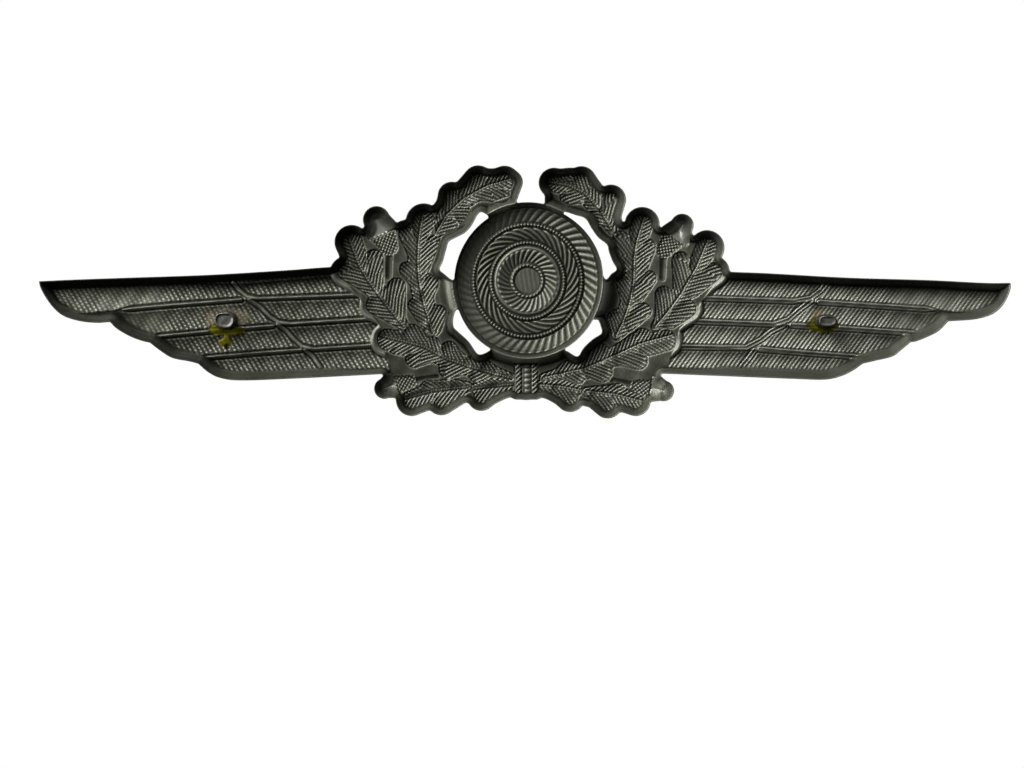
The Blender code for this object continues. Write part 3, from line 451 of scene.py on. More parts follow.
def residue_at(u, v):
    """Dried flux round the prongs: how much olive film and how much tan haze, 0 to 1."""
    ragged = 0.10 * np.sin(5.3 * u + 2.1 * v) + 0.07 * np.sin(7.7 * v - 3.1 * u)

    def spot(at, half):
        return np.hypot((u - at[0]) / half[0], (v - at[1]) / half[1])

    def film(at, half):
        return 1 - ease(spot(at, half) + ragged, 0.85, 1.08)

    def soft(at, half, start=0.4):
        return 1 - ease(spot(at, half), start, 1.2)

    band = np.maximum(film((-37.7, -6.25), (2.1, 0.62)), film((-38.9, -6.1), (1.3, 0.75)))
    drip = np.maximum(film((-37.8, -7.2), (0.42, 1.0)), film((-38.0, -7.75), (0.75, 0.58)))
    ring = film((36.9, -5.45), (1.95, 1.10)) * ease(spot((37.43, -5.0), (1.15, 0.68)), 0.8, 1.0)
    tan = np.maximum(soft((-39.7, -4.8), (0.9, 1.2)), soft((-35.9, -4.7), (1.2, 1.0)))
    tan = np.maximum(tan, soft((36.4, -4.1), (1.3, 0.6)))
    tan = np.maximum(tan, 0.7 * soft((-37.9, -4.0), (2.2, 0.8), 0.5))
    return np.maximum(np.maximum(band, drip), ring), tan


WING_POINTS = {side: [tuple(p) for run in runs for p in smooth_run(run, 6)]
               for side, runs in WINGS.items()}


def edge_distance(out, reach):
    """True distance inwards from the outline, from every place where the field changes sign."""
    dist = np.full(out.shape, reach)
    span = int(reach / PITCH) + 1
    inside = out < 0
    spots = []
    for axis in (0, 1):
        a, b = (out[:-1], out[1:]) if axis == 0 else (out[:, :-1], out[:, 1:])
        jj, ii = np.nonzero((a < 0) != (b < 0))
        t = a[jj, ii] / (a[jj, ii] - b[jj, ii])
        spots += list(zip(jj + t * (axis == 0), ii + t * (axis == 1)))
    rows, cols = np.arange(out.shape[0]), np.arange(out.shape[1])
    for j, i in spots:
        j0, i0 = max(int(j) - span, 0), max(int(i) - span, 0)
        j1, i1 = int(j) + span, int(i) + span
        d = PITCH * np.hypot((rows[j0:j1] - j)[:, None], (cols[i0:i1] - i)[None, :])
        np.minimum(dist[j0:j1, i0:i1], d, out=dist[j0:j1, i0:i1])
    return np.where(inside, dist, -dist)


def leaf_forms(u, v):
    """Distance to the leaves, and the swelling, veins and midrib of the nearest one."""
    leaves = np.full(np.shape(u), 1e9)
    swell, veins, rib = (np.zeros(np.shape(u)) for _ in range(3))
    for leaf in LEAVES.values():
        d, swells, vein, mid = leaf_relief(u, v, leaf)
        near = d < np.minimum(leaves, 0.3)
        swell = np.where(near, swells, swell)
        veins = np.where(near, vein, veins)
        rib = np.where(near, mid, rib)
        leaves = np.minimum(leaves, d)
    return leaves, swell, veins, rib


def acorn_forms(u, v):
    """Distances to the nuts and to their cups, and how far either lies below the ground."""
    nuts, cups = np.full(np.shape(u), 1e9), np.full(np.shape(u), 1e9)
    depth = np.zeros(np.shape(u))
    for acorn in ACORNS.values():
        nut, cap, along, lattice = acorn_relief(u, v, acorn)
        cup = 0.10 + 0.16 * ease(-cap, 0, 0.3) - 0.20 * lattice
        deep = np.where(along > 0, ACORN_STEP, cup) + 0.22 * np.exp(-(along / 0.12) ** 2)
        nut = np.where(along > 0, nut - NUT_GROW, 1e9)
        cap = np.where(along <= 0, cap, 1e9)
        depth = np.where(np.minimum(nut, cap) < np.minimum(np.minimum(nuts, cups), 0), deep, depth)
        nuts = np.minimum(nuts, nut)
        cups = np.minimum(cups, cap)
    return nuts, cups, depth


def outline_field(u, v, leaves, nuts, cups, wing):
    """Negative inside the badge's outline; the narrowest gaps are closed, and the openings cut."""
    out = blend_min(leaves - LEAF_MARGIN, np.minimum(nuts + NUT_GROW, cups) - ACORN_MARGIN, 0.25)
    for u0, v0, u1, v1, radius in WEBS:
        out = blend_min(out, capsule(u, v, (u0, v0), (u1, v1), radius, radius), 0.2)
    middle = np.minimum(cockade_radius(u, v) - COCKADE_RADIUS, tie_distance(u, v))
    out = np.minimum(np.minimum(out, wing), middle)
    rim = COCKADE_EDGE[2] - np.hypot(u - COCKADE_EDGE[0], SQUASH * (v - COCKADE_EDGE[1]))
    for run in OPENINGS:
        opening = polygon_distance(u, v, [tuple(p) for p in smooth_run(run, 8)])
        out = np.maximum(out, -np.maximum(opening, rim))
    wide = -edge_distance(-edge_distance(out, 0.8) - NOTCH / 2, 0.8)
    return wide + NOTCH / 2


def wing_share(u, v, wing):
    """1 on the wings past the wreath's outer edge, 0 in the wreath, and the same without the wing's
    own outline."""
    heights = [-12, -9, -6, -4, -2, 2]
    left = -np.interp(v, heights, [-17.0, -17.8, -18.2, -19.6, -21.2, -24.2])
    right = np.interp(v, heights, [17.0, 17.9, 18.8, 20.6, 22.0, 24.6])
    outside = np.where(u < 0, ease(-u, left, left + 0.3), ease(u, right, right + 0.3))
    return (wing < -0.6) * outside, outside


def ground_depth(u, v, bed, on_wing, outside):
    """Depth of the plain ground and of the feathers, and the feathers' painted light and shade."""
    r = cockade_radius(u, v)
    web = (1 - ease(r, 10.2, 11.6)) * (1 - ease(np.abs(v + 1), 2.5, 4.5))
    ground = FLOOR * ease(r, 9.35, 10.5) * (1 - web) + (0.10 + 1.0 * ease(r, 9.5, 11.6)) * web
    ground = ground + 0.04 * np.sin(1.9 * u + 0.7 * v) * np.sin(2.3 * v - 0.5 * u) * ease(r, 10.5, 12)
    pairs = zip(wing_relief(u, v, "left"), wing_relief(u, v, "right"))
    feather, feather_painted_light = (np.where(u < 0, a, b) for a, b in pairs)
    lip = ease(bed, 0.1, 0.4) * (1 - ease(bed, 0.5, 0.9))
    ground = ground - feather * on_wing * ease(bed, 0.75, 0.95) - 0.14 * lip * outside
    for a, b in STEMS:
        ground = ground + 0.22 * np.sqrt(ramp(-capsule(u, v, a, b, 0.45, 0.40), 0, 0.45))
    return ground, feather_painted_light


def blade_depth(leaves, swell, veins, rib):
    """Depth inside a leaf."""
    blade = FLOOR + LEAF_STEP * ease(-leaves, -0.05, 0.15) + LEAF_PUFF * swell
    blade = blade + 0.10 * np.exp(-((leaves + 0.07) / 0.09) ** 2)
    return blade - VEIN_RISE * veins * ease(-leaves, 0.0, 0.2) - 0.11 * rib * ease(-leaves, 0.1, 0.4)


def wall_depth(u, v, edge):
    """Depth of the drafted walls, less steep beside the openings and along the wings' lower edges."""
    slope = WALL_SLOPE - 0.3 * (1 - ease(cockade_radius(u, v), 11.6, 13.5)) * ease(v, -8.5, -6.5)
    slope = slope - 0.7 * ease(np.abs(u), 20, 26) * (1 - ease(v, -3.6, -2.2))
    return slope * np.maximum(edge - RIM_LAND, 0)


def wall_painted_light(u, edge, depth):
    """Painted light and shade on the walls: those that face down are painted darker than the relief,
    those that face up a little lighter, and the walls near the right wing's tip lighter.
    """
    slope_v, slope_u = np.gradient(depth, PITCH)
    run = np.hypot(slope_u, slope_v)
    steep = ramp(run, 0.7, 1.6) * (edge < 1.15)
    lit = (slope_v - 0.65 * slope_u) / run.clip(0.1)
    away = 0.18 + 0.18 * ease(np.abs(u), 19, 24)
    towards = 0.11 - 0.06 * ease(u, 24, 30)
    return steep * (np.where(lit > 0, towards, away) * lit + 0.16 * ease(u, 52, 55))


def relief(u, v):
    """Outline field, distance in from the edge, depth of the back below the rim plane, and painted light
    and shade.
    """
    leaves, swell, veins, rib = leaf_forms(u, v)
    nuts, cups, acorn_depth = acorn_forms(u, v)
    acorns = np.minimum(nuts, cups)
    bed = np.minimum(leaves, acorns)
    wing = np.minimum(*(polygon_distance(u, v, WING_POINTS[side]) for side in WINGS))
    out = outline_field(u, v, leaves, nuts, cups, wing)
    edge = edge_distance(out, EDGE_REACH)
    r = cockade_radius(u, v)
    tie = tie_distance(u, v)
    on_wing, outside = wing_share(u, v, wing)
    ground, feather_painted_light = ground_depth(u, v, bed, on_wing, outside)
    floor = np.where(leaves < 0, blade_depth(leaves, swell, veins, rib), ground)
    floor = np.where((acorns < 0) & (leaves > 0), FLOOR + acorn_depth, floor)
    bowl = 0.20 + (FLOOR + ACORN_STEP - 0.20) * np.sin(0.5 * math.pi * ramp(edge, 0.2, 1.7))
    floor = np.where((nuts < 0) & (nuts <= cups) & (leaves > 0), np.minimum(floor, bowl), floor)
    tied = 1 - ease(tie, -0.15, 0.05)
    floor = floor * (1 - tied) + (FLOOR + 0.12 - tie_relief(u, v)) * tied
    floor = np.where(r < 10.5, np.minimum(floor, np.maximum(ground, FLOOR * ease(r, 9.35, 10.3))), floor)
    depth = blend_min(floor, wall_depth(u, v, edge), 0.25) * ease(edge, 0.0, RIM_LAND + 0.12)
    depth = np.where(r < COCKADE_RADIUS, np.minimum(cockade_relief(u, v), 4 * np.maximum(edge, 0)),
                     depth)
    plain = (bed > 0.05) * (1 - on_wing) * (r > 10.2) * (edge > 0.7) * (tie > 0)
    # painted shade: the plain ground of the wreath darker; the feathers carry their painted light
    painted_light = on_wing * (bed > 0.8) * (edge > 0.9) * feather_painted_light - 0.19 * plain
    # painted light: the middles of the acorns' nut bowls lighter
    painted_light = painted_light + 0.70 * ease(edge, 0.4, 1.4) * (nuts < np.minimum(cups, 0)) * (leaves > 0)
    return out, edge, np.maximum(depth, 0), painted_light + wall_painted_light(u, edge, depth)


def blur(field, radius, rounds=2):
    """Box blur by running sums, along both axes."""
    for _ in range(rounds):
        for axis in (0, 1):
            pad = [(radius + 1, radius) if k == axis else (0, 0) for k in (0, 1)]
            run = np.cumsum(np.pad(field, pad, mode="edge"), axis=axis)
            lead = [slice(None)] * 2
            lag = [slice(None)] * 2
            lead[axis], lag[axis] = slice(2 * radius + 1, None), slice(None, -2 * radius - 1)
            field = (run[tuple(lead)] - run[tuple(lag)]) / (2 * radius + 1)
    return field


def front_depth(depth, edge):
    """Front surface: the broad forms carried outwards by the sheet's thickness all round, with the
    fine relief struck through."""
    broad = blur(depth, int(0.3 / PITCH))
    reach = int(round(SHEET / PITCH))
    base = np.where(edge > 0, broad, -1.0)
    best = np.full(depth.shape, -1.0)
    for dj in range(-reach, reach + 1):
        for di in range(-reach, reach + 1):
            rr = math.hypot(di, dj) * PITCH
            if rr <= SHEET:
                lift = math.sqrt(SHEET ** 2 - rr ** 2)
                best = np.maximum(best, np.roll(np.roll(base, dj, 0), di, 1) + lift)
    fine = 0.5 * (depth + blur(depth, 1, 1)) - broad
    best = best + FRONT_CRISP * fine * ease(edge, 0.5, 0.9)
    best = np.minimum(best, EDGE_LAND + 2.9 * np.maximum(edge, 0))
    return np.minimum(np.maximum(best, depth + 0.15), FRONT_DEPTH)


def linked(name, data):
    obj = bpy.data.objects.new(name, data)
    bpy.context.scene.collection.objects.link(obj)
    return obj


def build_shell(us, vs, out, back, front, fields):
    """Closed mesh of the struck sheet: the grid inside the outline, its cut edge, and both faces."""
    nu, nv = len(us), len(vs)
    inside = out < 0
    index = np.full((nv, nu), -1)
    data = {}
    jj, ii = np.nonzero(inside)
    index[jj, ii] = np.arange(len(jj))
    grid_u, grid_v = us[ii], vs[jj]
    cut_u, cut_v, cut_at, cuts = [], [], [], {}

    def cut(j, i, dj, di):
        key = (j, i, dj, di)
        if key not in cuts:
            f0, f1 = out[j, i], out[j + dj, i + di]
            t = min(max(f0 / (f0 - f1), 0.03), 0.97)
            cuts[key] = len(jj) + len(cut_u)
            cut_u.append(us[i] + t * di * PITCH)
            cut_v.append(vs[j] + t * dj * PITCH)
            cut_at.append((j, i) if f0 < 0 else (j + dj, i + di))
        return cuts[key]

    count = (inside[:-1, :-1].astype(int) + inside[:-1, 1:] + inside[1:, :-1] + inside[1:, 1:])
    cj, ci = np.nonzero(count == 4)
    quads = np.stack([index[cj, ci], index[cj, ci + 1], index[cj + 1, ci + 1], index[cj + 1, ci]], 1)
    faces, rim = [], []
    for j, i in zip(*np.nonzero((count > 0) & (count < 4))):
        corners = [(j, i), (j, i + 1), (j + 1, i + 1), (j + 1, i)]
        sides = [(j, i, 0, 1), (j, i + 1, 1, 0), (j + 1, i, 0, 1), (j, i, 1, 0)]
        ring = []
        for k in range(4):
            a, b = corners[k], corners[(k + 1) % 4]
            if inside[a]:
                ring.append((index[a], False))
            if inside[a] != inside[b]:
                ring.append((cut(*sides[k]), True))
        loops = [ring]
        if count[j, i] == 2 and inside[corners[0]] == inside[corners[2]]:
            joined = out[j:j + 2, i:i + 2].mean() < 0
            if not joined:
                first = [k for k in range(len(ring)) if not ring[k][1]]
                loops = [[ring[k - 1], ring[k], ring[(k + 1) % len(ring)]] for k in first]
        for loop in loops:
            faces.append([p[0] for p in loop])
            for k in range(len(loop)):
                p, q = loop[k], loop[(k + 1) % len(loop)]
                if p[1] and q[1]:
                    rim.append((p[0], q[0]))
    n = len(jj) + len(cut_u)
    u = np.concatenate([grid_u, cut_u])
    v = np.concatenate([grid_v, cut_v])
    near = np.array(cut_at)
    height = np.concatenate([back[jj, ii], np.zeros(len(cut_u))])
    under = np.concatenate([front[jj, ii], np.full(len(cut_u), EDGE_LAND)])
    coords = np.empty((2 * n, 3))
    coords[:, 0] = -np.tile(u, 2) * MM
    coords[:, 2] = np.tile(v, 2) * MM
    coords[:n, 1] = -height * MM
    coords[n:, 1] = -under * MM
    for name, (value_b, value_f) in fields.items():
        a = np.concatenate([value_b[jj, ii], value_b[near[:, 0], near[:, 1]]])
        b = np.concatenate([value_f[jj, ii], value_f[near[:, 0], near[:, 1]]])
        data[name] = np.concatenate([a, b])
    # counter-clockwise in (u, v) faces +Y
    back_faces = [tuple(int(k) for k in f) for f in faces]
    all_faces = quads.tolist() + [list(f) for f in back_faces]
    all_faces += coarse_front(index, count, n)
    all_faces += [[k + n for k in f[::-1]] for f in back_faces]
    all_faces += [[q, p, p + n, q + n] for p, q in rim]
    mesh = bpy.data.meshes.new("stamping_struck")
    mesh.from_pydata(coords.tolist(), [], all_faces)
    for name, values in data.items():
        mesh.attributes.new(name, "FLOAT", "POINT").data.foreach_set("value", values.astype(np.float32))
    mesh.polygons.foreach_set("use_smooth", [True] * len(mesh.polygons))
    obj = linked("stamping_struck", mesh)
    bm = bmesh.new()
    bm.from_mesh(mesh)
    loose = [p for p in bm.verts if not p.link_faces]
    bmesh.ops.delete(bm, geom=loose, context="VERTS")
    bmesh.ops.triangulate(bm, faces=[f for f in bm.faces if len(f.verts) > 4])
    bm.to_mesh(mesh)
    bm.free()
    return obj


def coarse_front(index, count, n):
    """Front faces: one face for each two-by-two block well inside, single cells elsewhere."""
    nv, nu = count.shape
    nv2, nu2 = nv // 2, nu // 2
    keep = (count[:nv2 * 2, :nu2 * 2].reshape(nv2, 2, nu2, 2) == 4).all(axis=(1, 3))
    faces = []
    for j in range(nv2):
        for i in range(nu2):
            if not keep[j, i]:
                continue
            a, b = 2 * j, 2 * i
            ring = [index[a, b]]
            if j == 0 or not keep[j - 1, i]:
                ring.append(index[a, b + 1])
            ring.append(index[a, b + 2])
            if i == nu2 - 1 or not keep[j, i + 1]:
                ring.append(index[a + 1, b + 2])
            ring.append(index[a + 2, b + 2])
            if j == nv2 - 1 or not keep[j + 1, i]:
                ring.append(index[a + 2, b + 1])
            ring.append(index[a + 2, b])
            if i == 0 or not keep[j, i - 1]:
                ring.append(index[a + 1, b])
            faces.append([int(k) + n for k in ring[::-1]])
    single = count == 4
    single[:nv2 * 2, :nu2 * 2] &= ~np.repeat(np.repeat(keep, 2, 0), 2, 1)
    cj, ci = np.nonzero(single)
    quads = np.stack([index[cj + 1, ci], index[cj + 1, ci + 1], index[cj, ci + 1], index[cj, ci]], 1) + n
    return faces + quads.tolist()


# ---- materials ---------------------------------------------------------
def node_material(name):
    mat = bpy.data.materials.new(name)
    mat.use_nodes = True
    return mat, mat.node_tree.nodes, mat.node_tree.links, mat.node_tree.nodes["Principled BSDF"]


def colour_ramp(nodes, links, fac, stops):
    node = nodes.new("ShaderNodeValToRGB")
    while len(node.color_ramp.elements) > 1:
        node.color_ramp.elements.remove(node.color_ramp.elements[-1])
    for k, (at, colour) in enumerate(stops):
        el = node.color_ramp.elements[0] if k == 0 else node.color_ramp.elements.new(at)
        el.position = at
        el.color = (*colour, 1)
    links.new(fac, node.inputs[0])
    return node.outputs[0]


def mix_colour(nodes, links, fac, a, b):
    node = nodes.new("ShaderNodeMix")
    node.data_type = "RGBA"
    links.new(fac, node.inputs[0])
    for sock, value in ((node.inputs[6], a), (node.inputs[7], b)):
        if isinstance(value, tuple):
            sock.default_value = (*value, 1)
        else:
            links.new(value, sock)
    return node.outputs[2]


def maths(nodes, links, op, a, b=None, clamp=False):
    node = nodes.new("ShaderNodeMath")
    node.operation = op
    node.use_clamp = clamp
    for sock, value in zip(node.inputs, (a, b)):
        if value is None:
            continue
        if isinstance(value, (int, float)):
            sock.default_value = value
        else:
            links.new(value, sock)
    return node.outputs[0]


def noise(nodes, links, scale, detail=4, rough=0.6):
    where = nodes.new("ShaderNodeTexCoord")
    node = nodes.new("ShaderNodeTexNoise")
    node.inputs["Scale"].default_value = scale
    node.inputs["Detail"].default_value = detail
    node.inputs["Roughness"].default_value = rough
    links.new(where.outputs["Object"], node.inputs["Vector"])
    return node.outputs[0]


def attribute(nodes, name):
    node = nodes.new("ShaderNodeAttribute")
    node.attribute_name = name
    return node.outputs["Fac"]


def struck_metal():
    """Aged zinc: darker in the hollows, from dirt and painted shade, lighter on crests, from wear and
    painted highlight, and carrying the other painted light of the cavity attribute; patchy, with the
    flux's olive film and tan haze.
    """
    mat, nodes, links, shader = node_material("struck_zinc_aged")
    cavity = attribute(nodes, "cavity")
    patch = noise(nodes, links, 120, 5, 0.65)
    grain = noise(nodes, links, 2500, 3, 0.7)
    # the cavity attribute holds painted light and shade as well as dirt and wear
    wear_dirt_and_shade = maths(nodes, links, "ADD", cavity, maths(nodes, links, "MULTIPLY",
                 maths(nodes, links, "SUBTRACT", patch, 0.5), 0.35))
    wear_dirt_and_shade = maths(nodes, links, "ADD", wear_dirt_and_shade, maths(nodes, links, "MULTIPLY",
                 maths(nodes, links, "SUBTRACT", grain, 0.5), 0.25), clamp=True)
    base = colour_ramp(nodes, links, wear_dirt_and_shade, [
        (0.0, (0.010, 0.011, 0.007)), (0.33, (0.064, 0.067, 0.050)), (0.5, (0.146, 0.151, 0.122)),
        (0.75, (0.235, 0.245, 0.205)), (1.0, (0.38, 0.39, 0.34))])
    residue = attribute(nodes, "residue")
    haze = attribute(nodes, "haze")
    grit = maths(nodes, links, "SUBTRACT", noise(nodes, links, 1700, 4, 0.8), 0.39)
    speckle = maths(nodes, links, "MULTIPLY", haze,
                    maths(nodes, links, "MULTIPLY", grit, 8.0, clamp=True), clamp=True)
    base = mix_colour(nodes, links, speckle, base, (0.155, 0.128, 0.075))
    olive = colour_ramp(nodes, links, noise(nodes, links, 700, 3, 0.6), [
        (0.3, (0.060, 0.055, 0.001)), (0.7, (0.17, 0.158, 0.006))])
    base = mix_colour(nodes, links, residue, base, olive)
    links.new(base, shader.inputs["Base Color"])
    metal = maths(nodes, links, "SUBTRACT", 0.88, maths(nodes, links, "MULTIPLY", speckle, 0.7))
    links.new(metal, shader.inputs["Metallic"])
    rough = maths(nodes, links, "SUBTRACT", 0.60, maths(nodes, links, "MULTIPLY", wear_dirt_and_shade, 0.22))
    rough = maths(nodes, links, "ADD", rough, maths(nodes, links, "MULTIPLY", grain, 0.06))
    links.new(rough, shader.inputs["Roughness"])
    bump = nodes.new("ShaderNodeBump")
    bump.inputs["Strength"].default_value = 0.25
    bump.inputs["Distance"].default_value = 0.00004
    links.new(grain, bump.inputs["Height"])
    links.new(bump.outputs[0], shader.inputs["Normal"])
    return mat


def plain_metal(name, colour, rough, scale, metallic=0.9):
    """Dull patchy metal; a point attribute paints the prongs' sides darker, as painted shade, beside
    their lit cut ends.
    """
    mat, nodes, links, shader = node_material(name)
    patch = noise(nodes, links, scale, 5, 0.65)
    base = colour_ramp(nodes, links, patch, [
        (0.30, tuple(0.45 * c for c in colour)), (0.55, colour), (0.75, tuple(1.5 * c for c in colour))])
    # painted shade: the prongs' sides mixed towards near black, their cut ends kept at full colour
    base = mix_colour(nodes, links, attribute(nodes, "painted_lit_end"), (0.02, 0.02, 0.018), base)
    links.new(base, shader.inputs["Base Color"])
    shader.inputs["Metallic"].default_value = metallic
    links.new(maths(nodes, links, "ADD", maths(nodes, links, "MULTIPLY", patch, 0.25), rough - 0.12),
              shader.inputs["Roughness"])
    bump = nodes.new("ShaderNodeBump")
    bump.inputs["Strength"].default_value = 0.5
    bump.inputs["Distance"].default_value = 0.0001
    links.new(patch, bump.inputs["Height"])
    links.new(bump.outputs[0], shader.inputs["Normal"])
    return mat


# ---- the stamping ------------------------------------------------------
def cavity_of(depth, out):
    """About 0.5 on plain ground, towards 0 in grooves and corners, towards 1 on crests: partly dirt in
    the grooves and wear on the crests, partly painted shade in grooves and corners and painted highlight
    on crests.
    """
    filled = np.where(out < 0, depth, 0)
    fine = blur(filled, max(1, int(0.18 / PITCH))) - filled
    broad = blur(filled, int(0.7 / PITCH)) - filled
    return np.clip(0.5 + 5.5 * fine + 0.30 * broad, 0, 1)


def back_shade(u, v, out, depth, painted_light):
    """The back's cavity shade, with parts painted darker or lighter by place as painted light and shade.
    """
    shade = cavity_of(depth, out)
    # painted shade: near the outline the shade is held low, so the rim stays dark
    shade = np.minimum(shade, 0.42 + 0.4 * ease(-out, 0.2, 0.9))
    r = cockade_radius(u, v)
    leftwards = ramp(-u, 1, 7)
    # painted light and shade by place: the cockade's middle ring darker, most on the left; the cockade
    # darker on the right, lighter on the left and lighter towards its top; the left wing darker and the
    # right side lighter; the wings' outer lower ends darker
    shade = shade - (0.10 + 0.16 * leftwards) * (1 - ease(np.abs(r - 5.7), 0.6, 0.9))
    shade = shade - (0.05 - 0.16 * leftwards) * (r < 9.4)
    shade = shade + 0.12 * ramp(v, 3, 8) * (r < 9.4)
    shade = shade - 0.11 * ease(-u, 20, 26) + 0.08 * ease(u, 5, 14)
    shade = shade - 0.07 * ease(np.abs(u), 38, 46) * (1 - ease(v, -5.5, -4.0))
    return np.clip(shade + painted_light, 0, 1)


us = np.arange(-62.0, 61.2, PITCH)
vs = np.arange(-18.2, 15.6, PITCH)
grid_u, grid_v = np.meshgrid(us, vs)
out, edge, back, painted_light = relief(grid_u, grid_v)
front = front_depth(back, edge)
shade = back_shade(grid_u, grid_v, out, back, painted_light)
# the front's shade: crests lighter and hollows darker, partly wear and dirt, partly painted light and
# shade
shade_front = 0.5 + (0.5 - cavity_of(front, out)) * ease(edge, 0.25, 0.6)
residue, haze = residue_at(grid_u, grid_v)
zero = np.zeros(out.shape)
shell = build_shell(us, vs, out, back, front, {"cavity": (shade, shade_front),
                                               "residue": (residue, zero), "haze": (haze, zero)})
shell.data.materials.append(struck_metal())
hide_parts("stamping")
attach(shell, "badge")

# ---- prongs and solder -------------------------------------------------
prong_mat = plain_metal("prong_metal_dull", (0.16, 0.16, 0.145), 0.40, 1500)
solder_mat = plain_metal("solder_dull", (0.06, 0.058, 0.045), 0.55, 700)


def oval(centre, half_u, half_v, height, count, power, wobble=0.0, seed=0):
    """Ring of points at one height above the rim plane; a power below 1 squares its corners."""
    ring = []
    for k in range(count):
        a = 2 * math.pi * k / count
        c, s = math.cos(a), math.sin(a)
        swell = 1 + wobble * (math.sin(3 * a + seed) + 0.6 * math.sin(5 * a + 2.3 * seed + height))
        ring.append((-(centre[0] + half_u * swell * math.copysign(abs(c) ** power, c)) * MM,
                     height * MM, (centre[1] + half_v * swell * math.copysign(abs(s) ** power, s)) * MM))
    return ring


def lofted(name, rings, mat, nodes, painted_lit_from=0):
    """Closed piece through rings of points; its colour is painted darker before the given ring, as
    painted shade.
    """
    count = len(rings[0])
    faces = [(a * count + k, a * count + (k + 1) % count, (a + 1) * count + (k + 1) % count,
              (a + 1) * count + k) for a in range(len(rings) - 1) for k in range(count)]
    faces += [tuple(range(count))[::-1], tuple((len(rings) - 1) * count + k for k in range(count))]
    mesh = bpy.data.meshes.new(name)
    mesh.from_pydata([p for ring in rings for p in ring], [], faces)
    mesh.polygons.foreach_set("use_smooth", [True] * len(mesh.polygons))
    # painted shade: the sides are painted darker than the lit cut end
    painted_lit_end = [1.0 if k >= painted_lit_from else 0.45 for k in range(len(rings)) for _ in range(count)]
    mesh.attributes.new("painted_lit_end", "FLOAT", "POINT").data.foreach_set("value", painted_lit_end)
    mesh.materials.append(mat)
    obj = linked(name, mesh)
    bm = bmesh.new()
    bm.from_mesh(mesh)
    bmesh.ops.recalc_face_normals(bm, faces=bm.faces)
    bm.to_mesh(mesh)
    bm.free()
    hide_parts(*nodes)
    return obj


PRONG_HALF = {"left": (1.18, 0.93), "right": (1.14, 0.66)}
PRONG_ENDS = {                           # the cut ends: height from the tip, share of width lost
    "left": [(-0.35, 0.0), (-0.10, 0.02), (0.0, 0.07), (-0.02, 0.12), (-0.16, 0.22), (-0.19, 0.45),
             (-0.13, 0.7), (-0.15, 0.95)],
    "right": [(-0.35, 0.0), (-0.12, 0.03), (-0.01, 0.09), (0.0, 0.16), (-0.07, 0.3), (-0.09, 0.6),
              (-0.06, 0.95)]}
FOLD_FROM, FOLD_TO = 1.75, 3.25          # the prong's rings stand closer together between these heights
RING_POINTS, WOBBLE = 48, 0.022
for side, seed in (("left", 1.0), ("right", 4.0)):
    at = PRONG_AT[side]
    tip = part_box(side + "_prong_tail")[1][1] / MM
    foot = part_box(side + "_prong_root")[0][1] / MM
    wide, thick = PRONG_HALF[side]
    heights = [foot, foot + 0.6, 0.2, 1.0] + [FOLD_FROM + 0.15 * k for k in range(11)]
    heights += [4.0, 5.0, 6.0, 6.8]
    stations = [(h, 0.0) for h in heights] + [(tip + a, b) for a, b in PRONG_ENDS[side]]
    rings = []
    for h, lose in stations:
        t = (h - foot) / (tip - foot)
        neck = 1.0 if h > tip - 0.4 else 0.90
        half = wide * neck * (1 - lose), thick * neck * (1 - lose)
        lean = -math.copysign(0.40 * t - 0.10, at[0])
        rings.append(oval((at[0] + lean, at[1] - 0.06 * t), half[0], half[1], h,
                          RING_POINTS, 0.8, WOBBLE, seed + 0.6 * h))
    prong = lofted(side + "_prong", rings, prong_mat,
                   [side + "_prong_root", side + "_prong_tail"], painted_lit_from=len(heights) + 1)
    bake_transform(prong)
    low, high = (p[1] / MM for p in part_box(side + "_solder"))
    mound = [oval(at, wide + 0.20 - 0.16 * s ** 2, thick + 0.22 - 0.18 * s ** 2,
                  low + (high - low) * math.sin(s * math.pi / 2), RING_POINTS, 0.9 - 0.2 * s,
                  WOBBLE, seed + s)
             for s in (0.0, 0.15, 0.3, 0.45, 0.6, 0.75, 0.88, 1.0)]
    joint = lofted(side + "_solder_joint", mound, solder_mat, [side + "_solder"])
    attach(joint, "badge")

# ---- floor, light, camera ----------------------------------------------
bpy.ops.mesh.primitive_plane_add(size=1)
floor = bpy.context.object
floor.name = "studio_floor"
floor.scale = (3, 3, 1)
floor.location = (0, 0.9, -0.12)
fmat, _, _, fshader = node_material("pale_floor")
fshader.inputs["Base Color"].default_value = (0.85, 0.85, 0.84, 1)
fshader.inputs["Emission Color"].default_value = (1, 1, 1, 1)
fshader.inputs["Emission Strength"].default_value = 0.95
fshader.inputs["Roughness"].default_value = 0.9
floor.data.materials.append(fmat)
floor.visible_glossy = floor.visible_diffuse = False

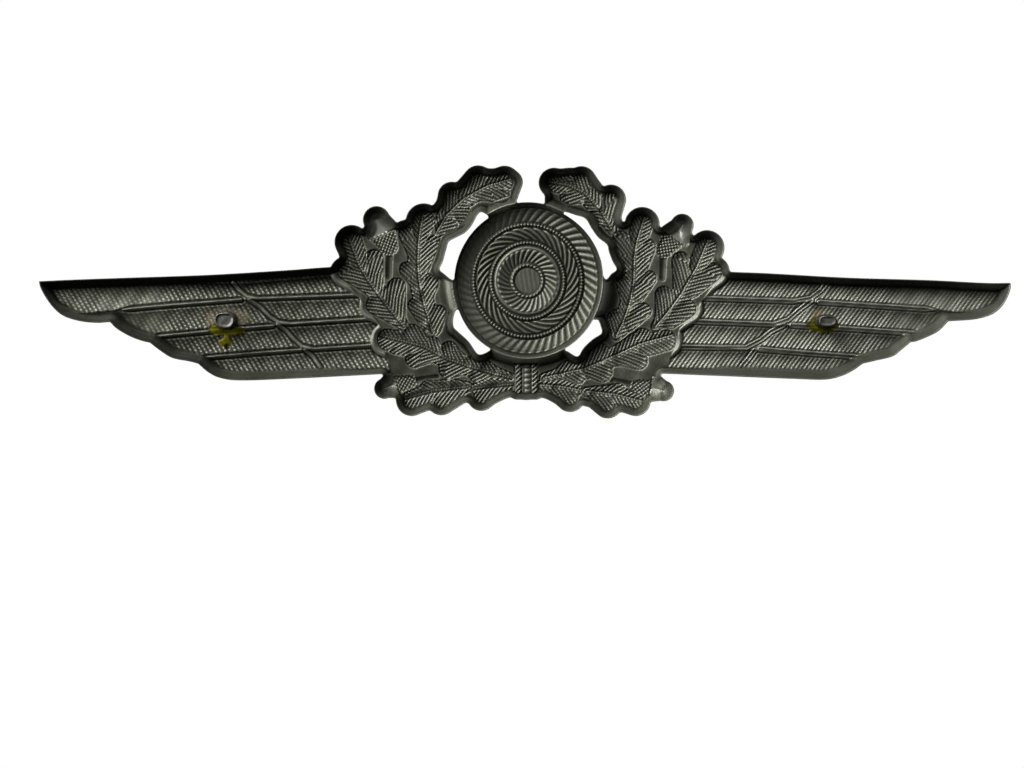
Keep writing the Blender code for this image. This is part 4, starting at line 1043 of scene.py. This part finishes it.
world = bpy.data.worlds.new("studio")
bpy.context.scene.world = world
world.use_nodes = True
wn, wl = world.node_tree.nodes, world.node_tree.links
background = wn["Background"]
path = wn.new("ShaderNodeLightPath")
mixer = wn.new("ShaderNodeMix")
mixer.data_type = "RGBA"
# a soft room, light towards upper +X and dark towards lower -X
toward = wn.new("ShaderNodeTexCoord")
dot = wn.new("ShaderNodeVectorMath")
dot.operation = "DOT_PRODUCT"
dot.inputs[1].default_value = (0.35, -0.15, 0.35)
wl.new(toward.outputs["Generated"], dot.inputs[0])
shift = maths(wn, wl, "ADD", dot.outputs["Value"], 0.63)
room = colour_ramp(wn, wl, shift, [(0.0, (0.0, 0.0, 0.0)), (0.42, (0.008, 0.008, 0.008)),
                                   (0.5, (0.065, 0.065, 0.062)), (0.72, (0.22, 0.22, 0.21)),
                                   (1.0, (0.40, 0.40, 0.38))])
wl.new(room, mixer.inputs[6])
mixer.inputs[7].default_value = (1, 1, 1, 1)
wl.new(path.outputs["Is Camera Ray"], mixer.inputs[0])
wl.new(mixer.outputs[2], background.inputs[0])


def area_light(name, at, size, watts, aim=(0, 0, 0)):
    data = bpy.data.lights.new(name, "AREA")
    data.size = size
    data.energy = watts
    light = linked(name, data)
    light.location = at
    light.rotation_euler = (Vector(aim) - Vector(at)).to_track_quat("-Z", "Y").to_euler()


area_light("key", (0.30, 0.40, 0.38), 0.30, 3.2)
area_light("near_camera", (0.06, 0.62, 0.10), 0.30, 0.12)
area_light("side", (0.50, 0.30, 0.06), 0.30, 1.6)
area_light("fill", (-0.25, 0.50, 0.35), 0.4, 0.4)
area_light("front", (0.30, -0.55, 0.40), 0.5, 6.5)
area_light("front_low", (-0.35, -0.5, 0.10), 0.5, 1.5)

camera_data = bpy.data.cameras.new("camera")
camera_data.sensor_width = 36
camera_data.lens = 36 * VIEW_FROM / VIEW_WIDE
camera_data.clip_start = 0.01
camera = linked("camera", camera_data)
camera.location = (-VIEW_AT[0] * MM, VIEW_FROM * MM, VIEW_AT[1] * MM)
camera.rotation_euler = (math.radians(90), 0, math.radians(180))
bpy.context.scene.camera = camera
bpy.context.scene.view_settings.view_transform = "Standard"
